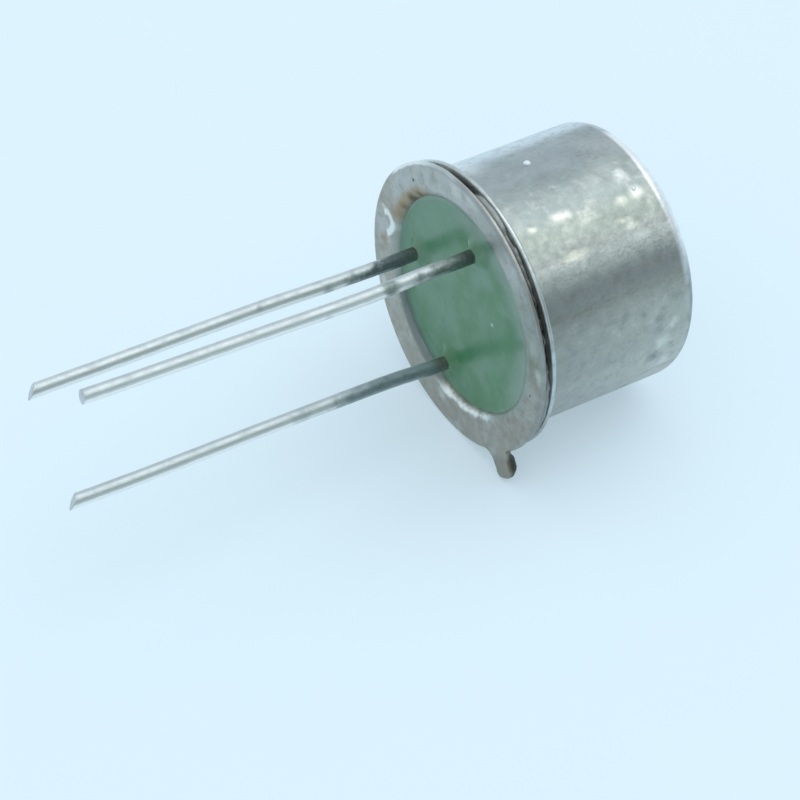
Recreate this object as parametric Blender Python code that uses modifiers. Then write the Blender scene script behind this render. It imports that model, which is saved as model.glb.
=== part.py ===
"""A small thyristor in a round metal can with three wire leads, lying on its side as it comes to rest.

Every piece is built in the can's own frame: +Z runs along the can from the header's seating face to the
closed top, and +X runs through the locating tab. An empty carries all the pieces and lays them down, so that
the tab, the header's flange and the can's top corner touch the ground, and the leads point along -X.
"""
import math

import bmesh
import bpy
from mathutils import Matrix, Vector

MM = 0.001

# The can, a drawn cup with a flange
CAN_DIAMETER = 8.3 * MM
CAN_HEIGHT = 6.1 * MM  # from the seating face to the outside of the closed top
CAN_WALL = 0.25 * MM
CAN_TOP_CORNER = 0.45 * MM
CAN_FLANGE_WIDTH = 0.45 * MM  # beyond the can's wall
CAN_FLANGE_FILLET = 0.2 * MM
CAN_FLANGE_EDGE = 0.07 * MM

# The header, an eyelet drawn from sheet: a flange, a wall inside the can, and a platform for the chip
HEADER_SHEET = 0.3 * MM
HEADER_HEIGHT = 1.9 * MM
HEADER_FLANGE_STEP = 0.05 * MM  # beyond the can's flange
HEADER_EDGE = 0.08 * MM
HEADER_CLEARANCE = 0.18 * MM  # between the eyelet's wall and the can's
HEADER_SHOULDER = 0.35 * MM
HEADER_INNER_CORNER = 0.15 * MM
HEADER_FLANGE_FILLET = 0.1 * MM
HEADER_MOUTH_ROUND = 0.2 * MM
PLATFORM_HOLE_DIAMETER = 1.3 * MM
WELD_SEAM = 0.05 * MM  # the open line between the two flanges
WELD_RIDGE_INSET = 0.15 * MM  # from the can flange's edge in to the ridge that the weld is made on
WELD_RIDGE_WIDTH = 0.12 * MM

# The locating tab
TAB_LENGTH = 0.9 * MM  # beyond the header's flange
TAB_WIDTH = 0.75 * MM
TAB_ROOT_FILLET = 0.4 * MM
TAB_END_CORNER = 0.2 * MM
TAB_EDGE = 0.06 * MM
TAB_INSET = 0.01 * MM  # how far the tab's faces lie inside the flange's
TAB_OVERLAP = 0.5 * MM  # how far its blank runs back into the flange

# The glass that fills the eyelet
GLASS_RECESS = 0.3 * MM
GLASS_CLIMB = 0.08 * MM  # up the eyelet's wall
GLASS_CLIMB_WIDTH = 0.35 * MM
GLASS_COLLAR_WIDTH = 0.28 * MM  # round each lead
GLASS_COLLAR_HEIGHT = 0.1 * MM
SEAL_GAP = 0.01 * MM  # between glass and metal, which are fused together on the real part
LEAD_SEAL_GAP = 0.02 * MM

# The leads, with their places on the pin circle in degrees round +Z from the tab
LEAD_DIAMETER = 0.45 * MM
PIN_CIRCLE_DIAMETER = 5.08 * MM
CATHODE_ANGLE = 45.0
GATE_ANGLE = 135.0
ANODE_ANGLE = 225.0
CATHODE_LEAD_LENGTH = 12.9 * MM  # below the seating face
GATE_LEAD_LENGTH = 13.1 * MM
ANODE_LEAD_LENGTH = 12.9 * MM
POST_HEIGHT = 0.8 * MM  # above the platform
POST_HEAD_DIAMETER = 0.75 * MM
POST_HEAD_THICKNESS = 0.15 * MM

# The leads' slight bends: (share of the lead's length, how far it stands sideways there)
BEND_ANGLE = -14.0  # the direction that counts as sideways, in degrees round +Z from the tab
CATHODE_BENDS = ((0.0, 0.0), (0.18, -0.05 * MM), (0.5, -0.1 * MM), (0.8, -0.13 * MM), (1.0, -0.19 * MM))
GATE_BENDS = ((0.0, 0.0), (0.2, 0.07 * MM), (0.42, 0.0), (0.75, -0.04 * MM), (1.0, -0.08 * MM))
ANODE_BENDS = ((0.0, 0.0), (0.3, 0.13 * MM), (0.6, 0.03 * MM), (0.85, -0.05 * MM), (1.0, -0.11 * MM))
TIP_SLANT = 25.0  # of the face that the cutters left, in degrees
TIP_CUTTER_SIZE = 2.0 * MM

# The chip and what carries it
SOLDER_THICKNESS = 0.05 * MM
SOLDER_MARGIN = 0.06 * MM  # how far the solder shows round what it holds
BASE_PLATE_THICKNESS = 0.3 * MM
BASE_PLATE_MARGIN = 0.1 * MM  # beyond the chip's corners
DIE_SIDE = 1.9 * MM
DIE_THICKNESS = 0.25 * MM
DIE_BEVEL = 0.08 * MM
PAD_THICKNESS = 0.03 * MM
PAD_MARGIN = 0.12 * MM  # from the chip's bevel in to its pads
GATE_PAD_SIDE = 0.42 * MM
PAD_SPACING = 0.12 * MM

# The wires from the pads to the posts
CATHODE_WIRE_DIAMETER = 0.25 * MM
GATE_WIRE_DIAMETER = 0.15 * MM
WIRE_RISE = 0.75 * MM
WIRE_FOOT = 0.3 * MM
WIRE_HEEL = 1.4  # how softly the arch leaves a foot: 1 is a sharp bend
WIRE_SEAT_GAP = 0.005 * MM

# How finely the round forms are faceted
RADIAL_STEPS = 60
ARC_STEPS = 4
SMALL_ARC_STEPS = 2
HOLE_SIDES = 24
COLLAR_STEPS = 20
LEAD_STEPS = 3  # between one bend and the next
LEAD_SIDES = 12
WIRE_STEPS = 16
WIRE_SIDES = 8
SMOOTH_ANGLE = math.radians(30)
MERGE_DISTANCE = 1e-7
CUTTER_MARGIN = 0.5 * MM

# Worked out from the sizes above
CAN_RADIUS = CAN_DIAMETER / 2
CAN_INNER_RADIUS = CAN_RADIUS - CAN_WALL
CAN_FLANGE_RADIUS = CAN_RADIUS + CAN_FLANGE_WIDTH
CAN_BASE_Z = HEADER_SHEET + WELD_SEAM
HEADER_RADIUS = CAN_FLANGE_RADIUS + HEADER_FLANGE_STEP
EYELET_RADIUS = CAN_INNER_RADIUS - HEADER_CLEARANCE
MOUTH_RADIUS = EYELET_RADIUS - HEADER_SHEET
PLATFORM_UNDERSIDE_Z = HEADER_HEIGHT - HEADER_SHEET
PIN_CIRCLE_RADIUS = PIN_CIRCLE_DIAMETER / 2
LEAD_RADIUS = LEAD_DIAMETER / 2
POST_TOP_Z = HEADER_HEIGHT + POST_HEIGHT
BASE_PLATE_RADIUS = DIE_SIDE / math.sqrt(2) + BASE_PLATE_MARGIN
BASE_PLATE_Z = HEADER_HEIGHT + SOLDER_THICKNESS
DIE_SOLDER_Z = BASE_PLATE_Z + BASE_PLATE_THICKNESS
DIE_Z = DIE_SOLDER_Z + SOLDER_THICKNESS
PAD_Z = DIE_Z + DIE_THICKNESS
PAD_TOP_Z = PAD_Z + PAD_THICKNESS
PAD_HALF = DIE_SIDE / 2 - DIE_BEVEL - PAD_MARGIN
RESTING_FLAT = math.cos(math.pi / RADIAL_STEPS)  # share of a radius at which a facet's middle lies


def clear_scene():
    for obj in list(bpy.data.objects):
        bpy.data.objects.remove(obj, do_unlink=True)


def new_collection(name):
    collection = bpy.data.collections.new(name)
    bpy.context.scene.collection.children.link(collection)
    return collection


def new_material(name, colour, metallic, roughness):
    material = bpy.data.materials.new(name)
    material.use_nodes = True
    shader = material.node_tree.nodes["Principled BSDF"]
    shader.inputs["Base Color"].default_value = (*colour, 1.0)
    shader.inputs["Metallic"].default_value = metallic
    shader.inputs["Roughness"].default_value = roughness
    return material


def add_object(name, data, collection, carrier):
    obj = bpy.data.objects.new(name, data)
    collection.objects.link(obj)
    obj.parent = carrier
    return obj


def as_helper(obj):
    """A cutter or a blank that a Boolean uses, and no piece of the part."""
    obj.hide_render = True
    obj.display_type = "WIRE"
    return obj


def add_boolean(obj, operation, other):
    boolean = obj.modifiers.new(operation.title() + " " + other.name, "BOOLEAN")
    boolean.operation = operation
    boolean.object = as_helper(other)


def arc(centre_r, centre_z, radius, start, end, steps=ARC_STEPS):
    """Points along an arc, with its angles in degrees from the first direction towards the second."""
    points = []
    for i in range(steps + 1):
        angle = math.radians(start + (end - start) * i / steps)
        points.append((centre_r + radius * math.cos(angle), centre_z + radius * math.sin(angle)))
    return points


def smooth_through(points, steps):
    """Points on a smooth curve through the given ones, with steps points for each stretch."""
    ends = [points[0], *points, points[-1]]
    path = []
    for before, start, end, after in zip(ends, ends[1:], ends[2:], ends[3:]):
        for i in range(steps):
            t = i / steps
            straight = 2 * start + (end - before) * t
            bend = (2 * before - 5 * start + 4 * end - after) * t**2
            twist = (3 * start - before - 3 * end + after) * t**3
            path.append((straight + bend + twist) / 2)
    return [*path, points[-1].copy()]


def turned(name, profile, collection, carrier, steps=RADIAL_STEPS):
    """A solid turned about +Z from (r, z) points that run down its outer side.

    A facet's middle, and not a corner between two facets, faces the ground when the part lies down.
    """
    mesh = bpy.data.meshes.new(name)
    mesh.from_pydata([(r, 0.0, z) for r, z in profile], [(i, i + 1) for i in range(len(profile) - 1)], [])
    obj = add_object(name, mesh, collection, carrier)
    obj.rotation_euler.z = resting_turn() - math.pi / steps
    screw = obj.modifiers.new("Turn", "SCREW")
    screw.steps = steps
    screw.render_steps = steps
    screw.use_merge_vertices = True
    screw.merge_threshold = MERGE_DISTANCE
    return obj


def shade_round(mesh):
    mesh.shade_smooth()
    mesh.set_sharp_from_angle(angle=SMOOTH_ANGLE)


def flatten_shading(obj):
    """Keeps flat faces flat to the eye where they meet round ones."""
    obj.modifiers.new("Flat faces", "WEIGHTED_NORMAL").keep_sharp = True


def cylinder(name, radius, low, high, place, sides, collection, carrier):
    """A round bar between two heights, with its axis at place (x, y)."""
    mesh = bpy.data.meshes.new(name)
    bm = bmesh.new()
    bmesh.ops.create_cone(bm, cap_ends=True, segments=sides, radius1=radius, radius2=radius, depth=high - low)
    bm.to_mesh(mesh)
    bm.free()
    shade_round(mesh)
    obj = add_object(name, mesh, collection, carrier)
    obj.location = (*place, (low + high) / 2)
    return obj


def block(name, side, low, thickness, place, collection, carrier, bevel=0.0):
    """A square plate on height low, centred on place (x, y), with its upper edges bevelled."""
    mesh = bpy.data.meshes.new(name)
    bm = bmesh.new()
    bmesh.ops.create_cube(bm, size=1.0, matrix=Matrix.Diagonal((side, side, thickness, 1.0)))
    if bevel:
        rim = [edge for edge in bm.edges if all(vertex.co.z > 0 for vertex in edge.verts)]
        bmesh.ops.bevel(bm, geom=rim, offset=bevel, segments=1, affect="EDGES")
    bm.to_mesh(mesh)
    bm.free()
    obj = add_object(name, mesh, collection, carrier)
    obj.location = (*place, low + thickness / 2)
    return obj


def wire(name, points, diameter, sides, collection, carrier):
    """A round wire along the points, with an even number of sides from 4 up."""
    curve = bpy.data.curves.new(name, "CURVE")
    curve.dimensions = "3D"
    curve.bevel_depth = diameter / 2
    curve.bevel_resolution = sides // 2 - 2
    curve.use_fill_caps = True
    spline = curve.splines.new("POLY")
    spline.points.add(len(points) - 1)
    for point, place in zip(spline.points, points):
        point.co = (*place, 1.0)
    spline.use_smooth = True
    return add_object(name, curve, collection, carrier)


def sheet(name, outline, low, thickness, edge, collection, carrier):
    """A flat plate on height low, cut to an outline, with its edges rounded."""
    curve = bpy.data.curves.new(name, "CURVE")
    curve.dimensions = "2D"
    curve.fill_mode = "BOTH"
    curve.extrude = thickness / 2 - edge
    curve.bevel_depth = edge
    curve.bevel_resolution = 1
    curve.offset = -edge
    spline = curve.splines.new("POLY")
    spline.points.add(len(outline) - 1)
    for point, place in zip(spline.points, outline):
        point.co = (*place, 0.0, 1.0)
    spline.use_cyclic_u = True
    obj = add_object(name, curve, collection, carrier)
    obj.location.z = low + thickness / 2
    return obj


def as_mesh(obj, collection, carrier):
    """The curve as a closed mesh of the same name and place, which a Boolean can work on."""
    bpy.context.view_layer.update()
    graph = bpy.context.evaluated_depsgraph_get()
    mesh = bpy.data.meshes.new_from_object(obj.evaluated_get(graph))
    bm = bmesh.new()
    bm.from_mesh(mesh)
    bmesh.ops.remove_doubles(bm, verts=bm.verts, dist=MERGE_DISTANCE)
    bm.to_mesh(mesh)
    bm.free()
    shade_round(mesh)
    name, place = obj.name, obj.matrix_world.copy()
    bpy.data.objects.remove(obj, do_unlink=True)
    made = add_object(name, mesh, collection, carrier)
    made.matrix_world = place
    return made


def on_pin_circle(angle):
    turn = math.radians(angle)
    return PIN_CIRCLE_RADIUS * math.cos(turn), PIN_CIRCLE_RADIUS * math.sin(turn)


def can_profile():
    """The cup's section: down the outside from the closed top to the flange, and back up the inside."""
    flange_top = CAN_BASE_Z + CAN_WALL
    flange_edge_r = CAN_FLANGE_RADIUS - CAN_FLANGE_EDGE
    corner_z = CAN_HEIGHT - CAN_TOP_CORNER
    inner_corner = CAN_TOP_CORNER - CAN_WALL
    bend = CAN_FLANGE_FILLET + CAN_WALL
    return (
        [(0.0, CAN_HEIGHT)]
        + arc(CAN_RADIUS - CAN_TOP_CORNER, corner_z, CAN_TOP_CORNER, 90, 0)
        + arc(CAN_RADIUS + CAN_FLANGE_FILLET, flange_top + CAN_FLANGE_FILLET, CAN_FLANGE_FILLET, 180, 270)
        + arc(flange_edge_r, flange_top - CAN_FLANGE_EDGE, CAN_FLANGE_EDGE, 90, 0, SMALL_ARC_STEPS)
        + arc(flange_edge_r, CAN_BASE_Z + CAN_FLANGE_EDGE, CAN_FLANGE_EDGE, 0, -90, SMALL_ARC_STEPS)
        + arc(CAN_INNER_RADIUS + bend, CAN_BASE_Z + bend, bend, 270, 180)
        + arc(CAN_INNER_RADIUS - inner_corner, corner_z, inner_corner, 0, 90, SMALL_ARC_STEPS)
        + [(0.0, CAN_HEIGHT - CAN_WALL)]
    )


def make_can(collection, carrier):
    can = turned("can", can_profile(), collection, carrier)
    flatten_shading(can)
    can.data.materials.append(new_material("nickel_plated_steel", (0.62, 0.62, 0.61), 1.0, 0.36))


def header_profile():
    """The eyelet's section: from its platform down the outside to the flange, and back up the inside."""
    edge_r = HEADER_RADIUS - HEADER_EDGE
    shoulder_z = HEADER_HEIGHT - HEADER_SHOULDER
    corner_z = PLATFORM_UNDERSIDE_Z - HEADER_INNER_CORNER
    fillet_r, fillet_z = EYELET_RADIUS + HEADER_FLANGE_FILLET, HEADER_SHEET + HEADER_FLANGE_FILLET
    ridge_r = CAN_FLANGE_RADIUS - WELD_RIDGE_INSET
    return (
        [(0.0, HEADER_HEIGHT)]
        + arc(EYELET_RADIUS - HEADER_SHOULDER, shoulder_z, HEADER_SHOULDER, 90, 0)
        + arc(fillet_r, fillet_z, HEADER_FLANGE_FILLET, 180, 270, SMALL_ARC_STEPS)
        + [(ridge_r - WELD_RIDGE_WIDTH, HEADER_SHEET), (ridge_r, CAN_BASE_Z - SEAL_GAP)]
        + [(ridge_r + WELD_RIDGE_WIDTH, HEADER_SHEET)]
        + arc(edge_r, HEADER_SHEET - HEADER_EDGE, HEADER_EDGE, 90, 0, SMALL_ARC_STEPS)
        + arc(edge_r, HEADER_EDGE, HEADER_EDGE, 0, -90, SMALL_ARC_STEPS)
        + arc(MOUTH_RADIUS + HEADER_MOUTH_ROUND, HEADER_MOUTH_ROUND, HEADER_MOUTH_ROUND, 270, 180)
        + arc(MOUTH_RADIUS - HEADER_INNER_CORNER, corner_z, HEADER_INNER_CORNER, 0, 90, SMALL_ARC_STEPS)
        + [(0.0, PLATFORM_UNDERSIDE_Z)]
    )


def tab_outline():
    """The edge of the tab: one side from inside the flange to the end, and the other side back."""
    half = TAB_WIDTH / 2
    root_y = half + TAB_ROOT_FILLET
    root_x = math.sqrt((HEADER_RADIUS + TAB_ROOT_FILLET) ** 2 - root_y**2)
    touching = 180 + math.degrees(math.atan2(root_y, root_x))
    end_x = HEADER_RADIUS + TAB_LENGTH - TAB_END_CORNER
    side = (
        [(HEADER_RADIUS - TAB_OVERLAP, root_y)]
        + arc(root_x, root_y, TAB_ROOT_FILLET, touching, 270)
        + arc(end_x, half - TAB_END_CORNER, TAB_END_CORNER, 90, 0)
    )
    return side + [(x, -y) for x, y in reversed(side)]


def make_header(collection, cutters, carrier):
    header = turned("header", header_profile(), collection, carrier)
    thickness = HEADER_SHEET - 2 * TAB_INSET
    tab = sheet("tab_blank", tab_outline(), TAB_INSET, thickness, TAB_EDGE, cutters, carrier)
    add_boolean(header, "UNION", as_mesh(tab, cutters, carrier))
    for name, angle in (("cathode_hole", CATHODE_ANGLE), ("gate_hole", GATE_ANGLE)):
        low, high = PLATFORM_UNDERSIDE_Z - CUTTER_MARGIN, HEADER_HEIGHT + CUTTER_MARGIN
        radius = PLATFORM_HOLE_DIAMETER / 2
        hole = cylinder(name, radius, low, high, on_pin_circle(angle), HOLE_SIDES, cutters, carrier)
        add_boolean(header, "DIFFERENCE", hole)
    flatten_shading(header)
    header.data.materials.append(new_material("oxidised_nickel", (0.5, 0.48, 0.45), 1.0, 0.45))


def glass_profile():
    """The glass in section: from its inner face down the eyelet to its outer face, which climbs the wall."""
    radius = MOUTH_RADIUS - SEAL_GAP
    top = PLATFORM_UNDERSIDE_Z - SEAL_GAP
    corner = arc(
        radius - HEADER_INNER_CORNER, top - HEADER_INNER_CORNER, HEADER_INNER_CORNER, 90, 0, SMALL_ARC_STEPS
    )
    climb = []
    for i in range(ARC_STEPS + 1):
        share = i / ARC_STEPS
        climb.append((radius - GLASS_CLIMB_WIDTH * share, GLASS_RECESS - GLASS_CLIMB * (1 - share) ** 2))
    return [(0.0, top)] + corner + climb + [(0.0, GLASS_RECESS)]


def collar_profile():
    """The low mound of glass round a lead: a plug in the glass, with a slope that climbs the lead."""
    top = GLASS_RECESS + GLASS_COLLAR_HEIGHT
    slope = []
    for i in range(ARC_STEPS + 1):
        share = i / ARC_STEPS
        radius = LEAD_RADIUS + GLASS_COLLAR_WIDTH * (1 - share)
        slope.append((radius, GLASS_RECESS - GLASS_COLLAR_HEIGHT * share**2))
    foot = LEAD_RADIUS + GLASS_COLLAR_WIDTH
    return [(0.0, top), (foot, top)] + slope + [(0.0, GLASS_RECESS - GLASS_COLLAR_HEIGHT)]


def make_glass(collection, cutters, carrier):
    glass = turned("glass_seal", glass_profile(), collection, carrier)
    leads = (("cathode", CATHODE_ANGLE, True), ("gate", GATE_ANGLE, True), ("anode", ANODE_ANGLE, False))
    for name, angle, insulated in leads:
        place = on_pin_circle(angle)
        collar = turned(name + "_collar", collar_profile(), cutters, carrier, COLLAR_STEPS)
        collar.location = (*place, 0.0)
        add_boolean(glass, "UNION", collar)
        if insulated:
            radius, low = PLATFORM_HOLE_DIAMETER / 2 - SEAL_GAP, PLATFORM_UNDERSIDE_Z - CUTTER_MARGIN
            plug = cylinder(name + "_plug", radius, low, HEADER_HEIGHT, place, HOLE_SIDES, cutters, carrier)
            add_boolean(glass, "UNION", plug)
        radius, high = LEAD_RADIUS + LEAD_SEAL_GAP, HEADER_HEIGHT + CUTTER_MARGIN
        bore = cylinder(name + "_bore", radius, -CUTTER_MARGIN, high, place, HOLE_SIDES, cutters, carrier)
        add_boolean(glass, "DIFFERENCE", bore)
    flatten_shading(glass)
    glass.data.materials.append(new_material("green_seal_glass", (0.13, 0.3, 0.2), 0.0, 0.2))


def lead_path(angle, top, length, bends):
    """A lead's centre line, from its inner end down to just past its tip, and the tip."""
    x, y = on_pin_circle(angle)
    turn = math.radians(BEND_ANGLE)
    points = [Vector((x, y, top))]
    for share, side in bends:
        points.append(Vector((x + side * math.cos(turn), y + side * math.sin(turn), -length * share)))
    path = smooth_through(points, LEAD_STEPS)
    path[-1].z -= LEAD_DIAMETER
    return path, points[-1]


def make_lead(name, angle, top, length, bends, material, collection, cutters, carrier):
    """A lead with its tip cut off at a slant."""
    path, tip = lead_path(angle, top, length, bends)
    lead = as_mesh(wire(name, path, LEAD_DIAMETER, LEAD_SIDES, collection, carrier), collection, carrier)
    size = TIP_CUTTER_SIZE
    cutter = block(name + "_tip_cutter", size, -size, size, (0.0, 0.0), cutters, carrier)
    slant = Matrix.Rotation(math.radians(angle), 4, "Z") @ Matrix.Rotation(math.radians(TIP_SLANT), 4, "Y")
    cutter.matrix_local = Matrix.Translation(tip) @ slant @ Matrix.Translation(cutter.location)
    add_boolean(lead, "DIFFERENCE", cutter)
    lead.data.materials.append(material)
    return lead


def make_leads(collection, cutters, carrier):
    """Two leads that end above the platform in a flat head, and one that is welded to its underside."""
    tinned = new_material("tinned_wire", (0.66, 0.66, 0.62), 1.0, 0.35)
    posts = (
        ("cathode_lead", CATHODE_ANGLE, CATHODE_LEAD_LENGTH, CATHODE_BENDS),
        ("gate_lead", GATE_ANGLE, GATE_LEAD_LENGTH, GATE_BENDS),
    )
    top, low = POST_TOP_Z - POST_HEAD_THICKNESS / 2, POST_TOP_Z - POST_HEAD_THICKNESS
    for name, angle, length, bends in posts:
        lead = make_lead(name, angle, top, length, bends, tinned, collection, cutters, carrier)
        place, radius = on_pin_circle(angle), POST_HEAD_DIAMETER / 2
        head = cylinder(name + "_head", radius, low, POST_TOP_Z, place, HOLE_SIDES, cutters, carrier)
        add_boolean(lead, "UNION", head)
    weld = PLATFORM_UNDERSIDE_Z - SEAL_GAP
    length, bends = ANODE_LEAD_LENGTH, ANODE_BENDS
    make_lead("anode_lead", ANODE_ANGLE, weld, length, bends, tinned, collection, cutters, carrier)


def make_chip_mount(collection, carrier):
    """The solder, the base plate that takes up the chip's expansion, and the solder under the chip."""
    solder = new_material("solder", (0.55, 0.56, 0.58), 1.0, 0.4)
    molybdenum = new_material("molybdenum", (0.42, 0.43, 0.45), 1.0, 0.4)
    centre, sides = (0.0, 0.0), RADIAL_STEPS // 2
    radius, side = BASE_PLATE_RADIUS, DIE_SIDE + 2 * SOLDER_MARGIN
    low, spread = HEADER_HEIGHT, radius + SOLDER_MARGIN
    lower = cylinder("plate_solder", spread, low, BASE_PLATE_Z, centre, sides, collection, carrier)
    plate = cylinder("base_plate", radius, BASE_PLATE_Z, DIE_SOLDER_Z, centre, sides, collection, carrier)
    upper = block("die_solder", side, DIE_SOLDER_Z, SOLDER_THICKNESS, centre, collection, carrier)
    for obj, material in ((lower, solder), (plate, molybdenum), (upper, solder)):
        obj.data.materials.append(material)


def gate_pad_centre():
    offset = PAD_HALF - GATE_PAD_SIDE / 2
    return -offset, offset


def make_chip(collection, carrier):
    """The silicon, with the gate's pad in the corner nearest its post and the cathode's pad round it."""
    silicon = new_material("silicon", (0.09, 0.09, 0.11), 0.4, 0.25)
    aluminium = new_material("pad_aluminium", (0.8, 0.8, 0.81), 1.0, 0.3)
    die = block("silicon_die", DIE_SIDE, DIE_Z, DIE_THICKNESS, (0.0, 0.0), collection, carrier, DIE_BEVEL)
    die.data.materials.append(silicon)
    notch = GATE_PAD_SIDE + PAD_SPACING - PAD_HALF
    outline = [(-PAD_HALF, -PAD_HALF), (PAD_HALF, -PAD_HALF), (PAD_HALF, PAD_HALF)]
    outline += [(notch, PAD_HALF), (notch, -notch), (-PAD_HALF, -notch)]
    cathode = sheet("cathode_pad", outline, PAD_Z, PAD_THICKNESS, 0.0, collection, carrier)
    gate = block("gate_pad", GATE_PAD_SIDE, PAD_Z, PAD_THICKNESS, gate_pad_centre(), collection, carrier)
    for pad in (cathode, gate):
        pad.data.materials.append(aluminium)


def wire_path(pad, post, diameter):
    """A bond wire's centre line: flat on its pad, over in an arch, and flat on the post's head."""
    seat = diameter / 2 + WIRE_SEAT_GAP
    start, end = Vector((*pad, PAD_TOP_Z + seat)), Vector((*post, POST_TOP_Z + seat))
    foot = Vector((end.x - start.x, end.y - start.y, 0.0)).normalized() * WIRE_FOOT / 2
    points = [start - foot]
    for i in range(WIRE_STEPS + 1):
        share = i / WIRE_STEPS
        point = (start + foot).lerp(end - foot, share)
        point.z += WIRE_RISE * math.sin(math.pi * share) ** WIRE_HEEL
        points.append(point)
    return [*points, end + foot]


def make_wires(collection, carrier):
    aluminium = new_material("bond_wire", (0.82, 0.82, 0.83), 1.0, 0.25)
    wires = (
        ("cathode_wire", (0.0, 0.0), CATHODE_ANGLE, CATHODE_WIRE_DIAMETER),
        ("gate_wire", gate_pad_centre(), GATE_ANGLE, GATE_WIRE_DIAMETER),
    )
    for name, pad, angle, diameter in wires:
        points = wire_path(pad, on_pin_circle(angle), diameter)
        bond = wire(name, points, diameter, WIRE_SIDES, collection, carrier)
        bond.data.materials.append(aluminium)


def resting_turn():
    """The angle from the tab to the part of the flange that lies on the ground when the tab does too."""
    reach = HEADER_RADIUS * RESTING_FLAT - TAB_END_CORNER
    corner_x = HEADER_RADIUS + TAB_LENGTH - TAB_END_CORNER
    corner_y = TAB_WIDTH / 2 - TAB_END_CORNER
    return math.atan2(corner_y, corner_x) + math.acos(reach / math.hypot(corner_x, corner_y))


def resting_tilt():
    """How far the can leans, closed end down, with its top corner and the header's flange on the ground."""
    flange_r, flange_z = HEADER_RADIUS * RESTING_FLAT, HEADER_SHEET - HEADER_EDGE
    corner_r, corner_z = CAN_RADIUS * RESTING_FLAT, CAN_HEIGHT - CAN_TOP_CORNER
    return math.atan2(flange_r - corner_r, corner_z - flange_z)


def lay_down(carrier, pieces):
    """Turns the part onto its side, with its origin on the ground under the middle of its box."""
    onto_side = Matrix.Rotation(math.pi / 2 + resting_tilt(), 4, "Y")
    carrier.matrix_world = onto_side @ Matrix.Rotation(-resting_turn(), 4, "Z")
    bpy.context.view_layer.update()
    graph = bpy.context.evaluated_depsgraph_get()
    corners = []
    for piece in pieces:
        evaluated = piece.evaluated_get(graph)
        corners += [evaluated.matrix_world @ vertex.co for vertex in evaluated.to_mesh().vertices]
        evaluated.to_mesh_clear()
    low = Vector([min(corner[i] for corner in corners) for i in range(3)])
    high = Vector([max(corner[i] for corner in corners) for i in range(3)])
    middle = (low + high) / 2
    carrier.location = (-middle.x, -middle.y, -low.z)


def main():
    clear_scene()
    parts = new_collection("thyristor")
    cutters = new_collection("thyristor_cutters")
    carrier = bpy.data.objects.new("resting_pose", None)
    parts.objects.link(carrier)
    make_can(parts, carrier)
    make_header(parts, cutters, carrier)
    make_glass(parts, cutters, carrier)
    make_leads(parts, cutters, carrier)
    make_chip_mount(parts, carrier)
    make_chip(parts, carrier)
    make_wires(parts, carrier)
    lay_down(carrier, [obj for obj in parts.objects if obj is not carrier])


main()
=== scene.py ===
import math

import bmesh
import bpy
from mathutils import Matrix, Vector, noise


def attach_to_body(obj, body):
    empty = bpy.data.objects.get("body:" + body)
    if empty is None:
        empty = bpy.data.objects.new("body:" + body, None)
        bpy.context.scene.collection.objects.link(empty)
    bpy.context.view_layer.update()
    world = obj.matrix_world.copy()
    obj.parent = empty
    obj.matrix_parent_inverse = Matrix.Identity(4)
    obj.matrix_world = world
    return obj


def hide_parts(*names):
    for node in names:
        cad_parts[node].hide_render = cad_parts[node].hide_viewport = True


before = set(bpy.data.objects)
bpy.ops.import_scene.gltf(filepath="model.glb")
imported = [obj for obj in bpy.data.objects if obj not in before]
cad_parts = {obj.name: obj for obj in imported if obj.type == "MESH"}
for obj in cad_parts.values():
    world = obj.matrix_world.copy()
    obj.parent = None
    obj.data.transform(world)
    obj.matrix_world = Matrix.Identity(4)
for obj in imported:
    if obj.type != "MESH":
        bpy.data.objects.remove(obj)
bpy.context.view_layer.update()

MM = 0.001

# How the part lies: the pieces are built in the can's own frame, in millimetres, with +Z along the can from
# the seating face to the closed top and +X through the locating tab. This pose is the CAD model's.
RESTING_TURN = 35.76031
RESTING_TILT = 5.25385
RESTING_PLACE = (3.3888789, 0.0, 4.644264)
POSE = (
    Matrix.Translation(Vector(RESTING_PLACE) * MM)
    @ Matrix.Rotation(math.radians(90 + RESTING_TILT), 4, "Y")
    @ Matrix.Rotation(math.radians(-RESTING_TURN), 4, "Z")
)

# Sizes in millimetres: the CAD model's, and those of finer forms that the photograph shows. FACET brings a
# round form inside the CAD's facets, and CENTRE_HOLE is where turned sections stop short of the axis.
FACET = math.cos(math.pi / 60)
CENTRE_HOLE = 0.03
WALL_RADIUS = 4.15
CAN_RADIUS = WALL_RADIUS * FACET
CAN_HEIGHT = 6.1
CAN_WALL = 0.25
CAN_FLANGE_TOP = 0.57
CAN_TOP_CORNER = 0.53
CAN_BASE_Z = 0.385
CAN_FLANGE_RADIUS = 4.6 * FACET
CAN_FLANGE_FILLET = 0.2
CAN_FLANGE_EDGE = 0.085
HEADER_RADIUS = 4.65 * FACET
HEADER_SHEET = 0.3
HEADER_HEIGHT = 1.9
HEADER_EDGE = 0.1
HEADER_RIM = 0.16
HEADER_RIM_WIDTH = 0.36
EYELET_RADIUS = 3.72
HEADER_SHOULDER = 0.35
HEADER_INNER_CORNER = 0.15
HEADER_FLANGE_FILLET = 0.1
MOUTH_RADIUS = 3.42
MOUTH_ROUND = 0.4
MOUTH_SHIFT = 0.12
MOUTH_SHIFT_ANGLE = 235.0
MOUTH_SHIFT_REACH = 4.2
MOUTH_SHIFT_FADE = 0.35
MOUTH_DEPTH = 0.6
HOLE_RADIUS = 0.65
TAB_LENGTH = 0.9
TAB_WIDTH = 0.75
TAB_ROOT_FILLET = 0.4
TAB_END_CORNER = 0.25
TAB_SWELL = 0.13
GLASS_RADIUS = 3.43
GLASS_TOP = HEADER_HEIGHT - HEADER_SHEET - 0.01
GLASS_RECESS = 0.3
GLASS_CLIMB = 0.08
GLASS_CLIMB_WIDTH = 0.35
COLLAR_WIDTH = 0.4
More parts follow.
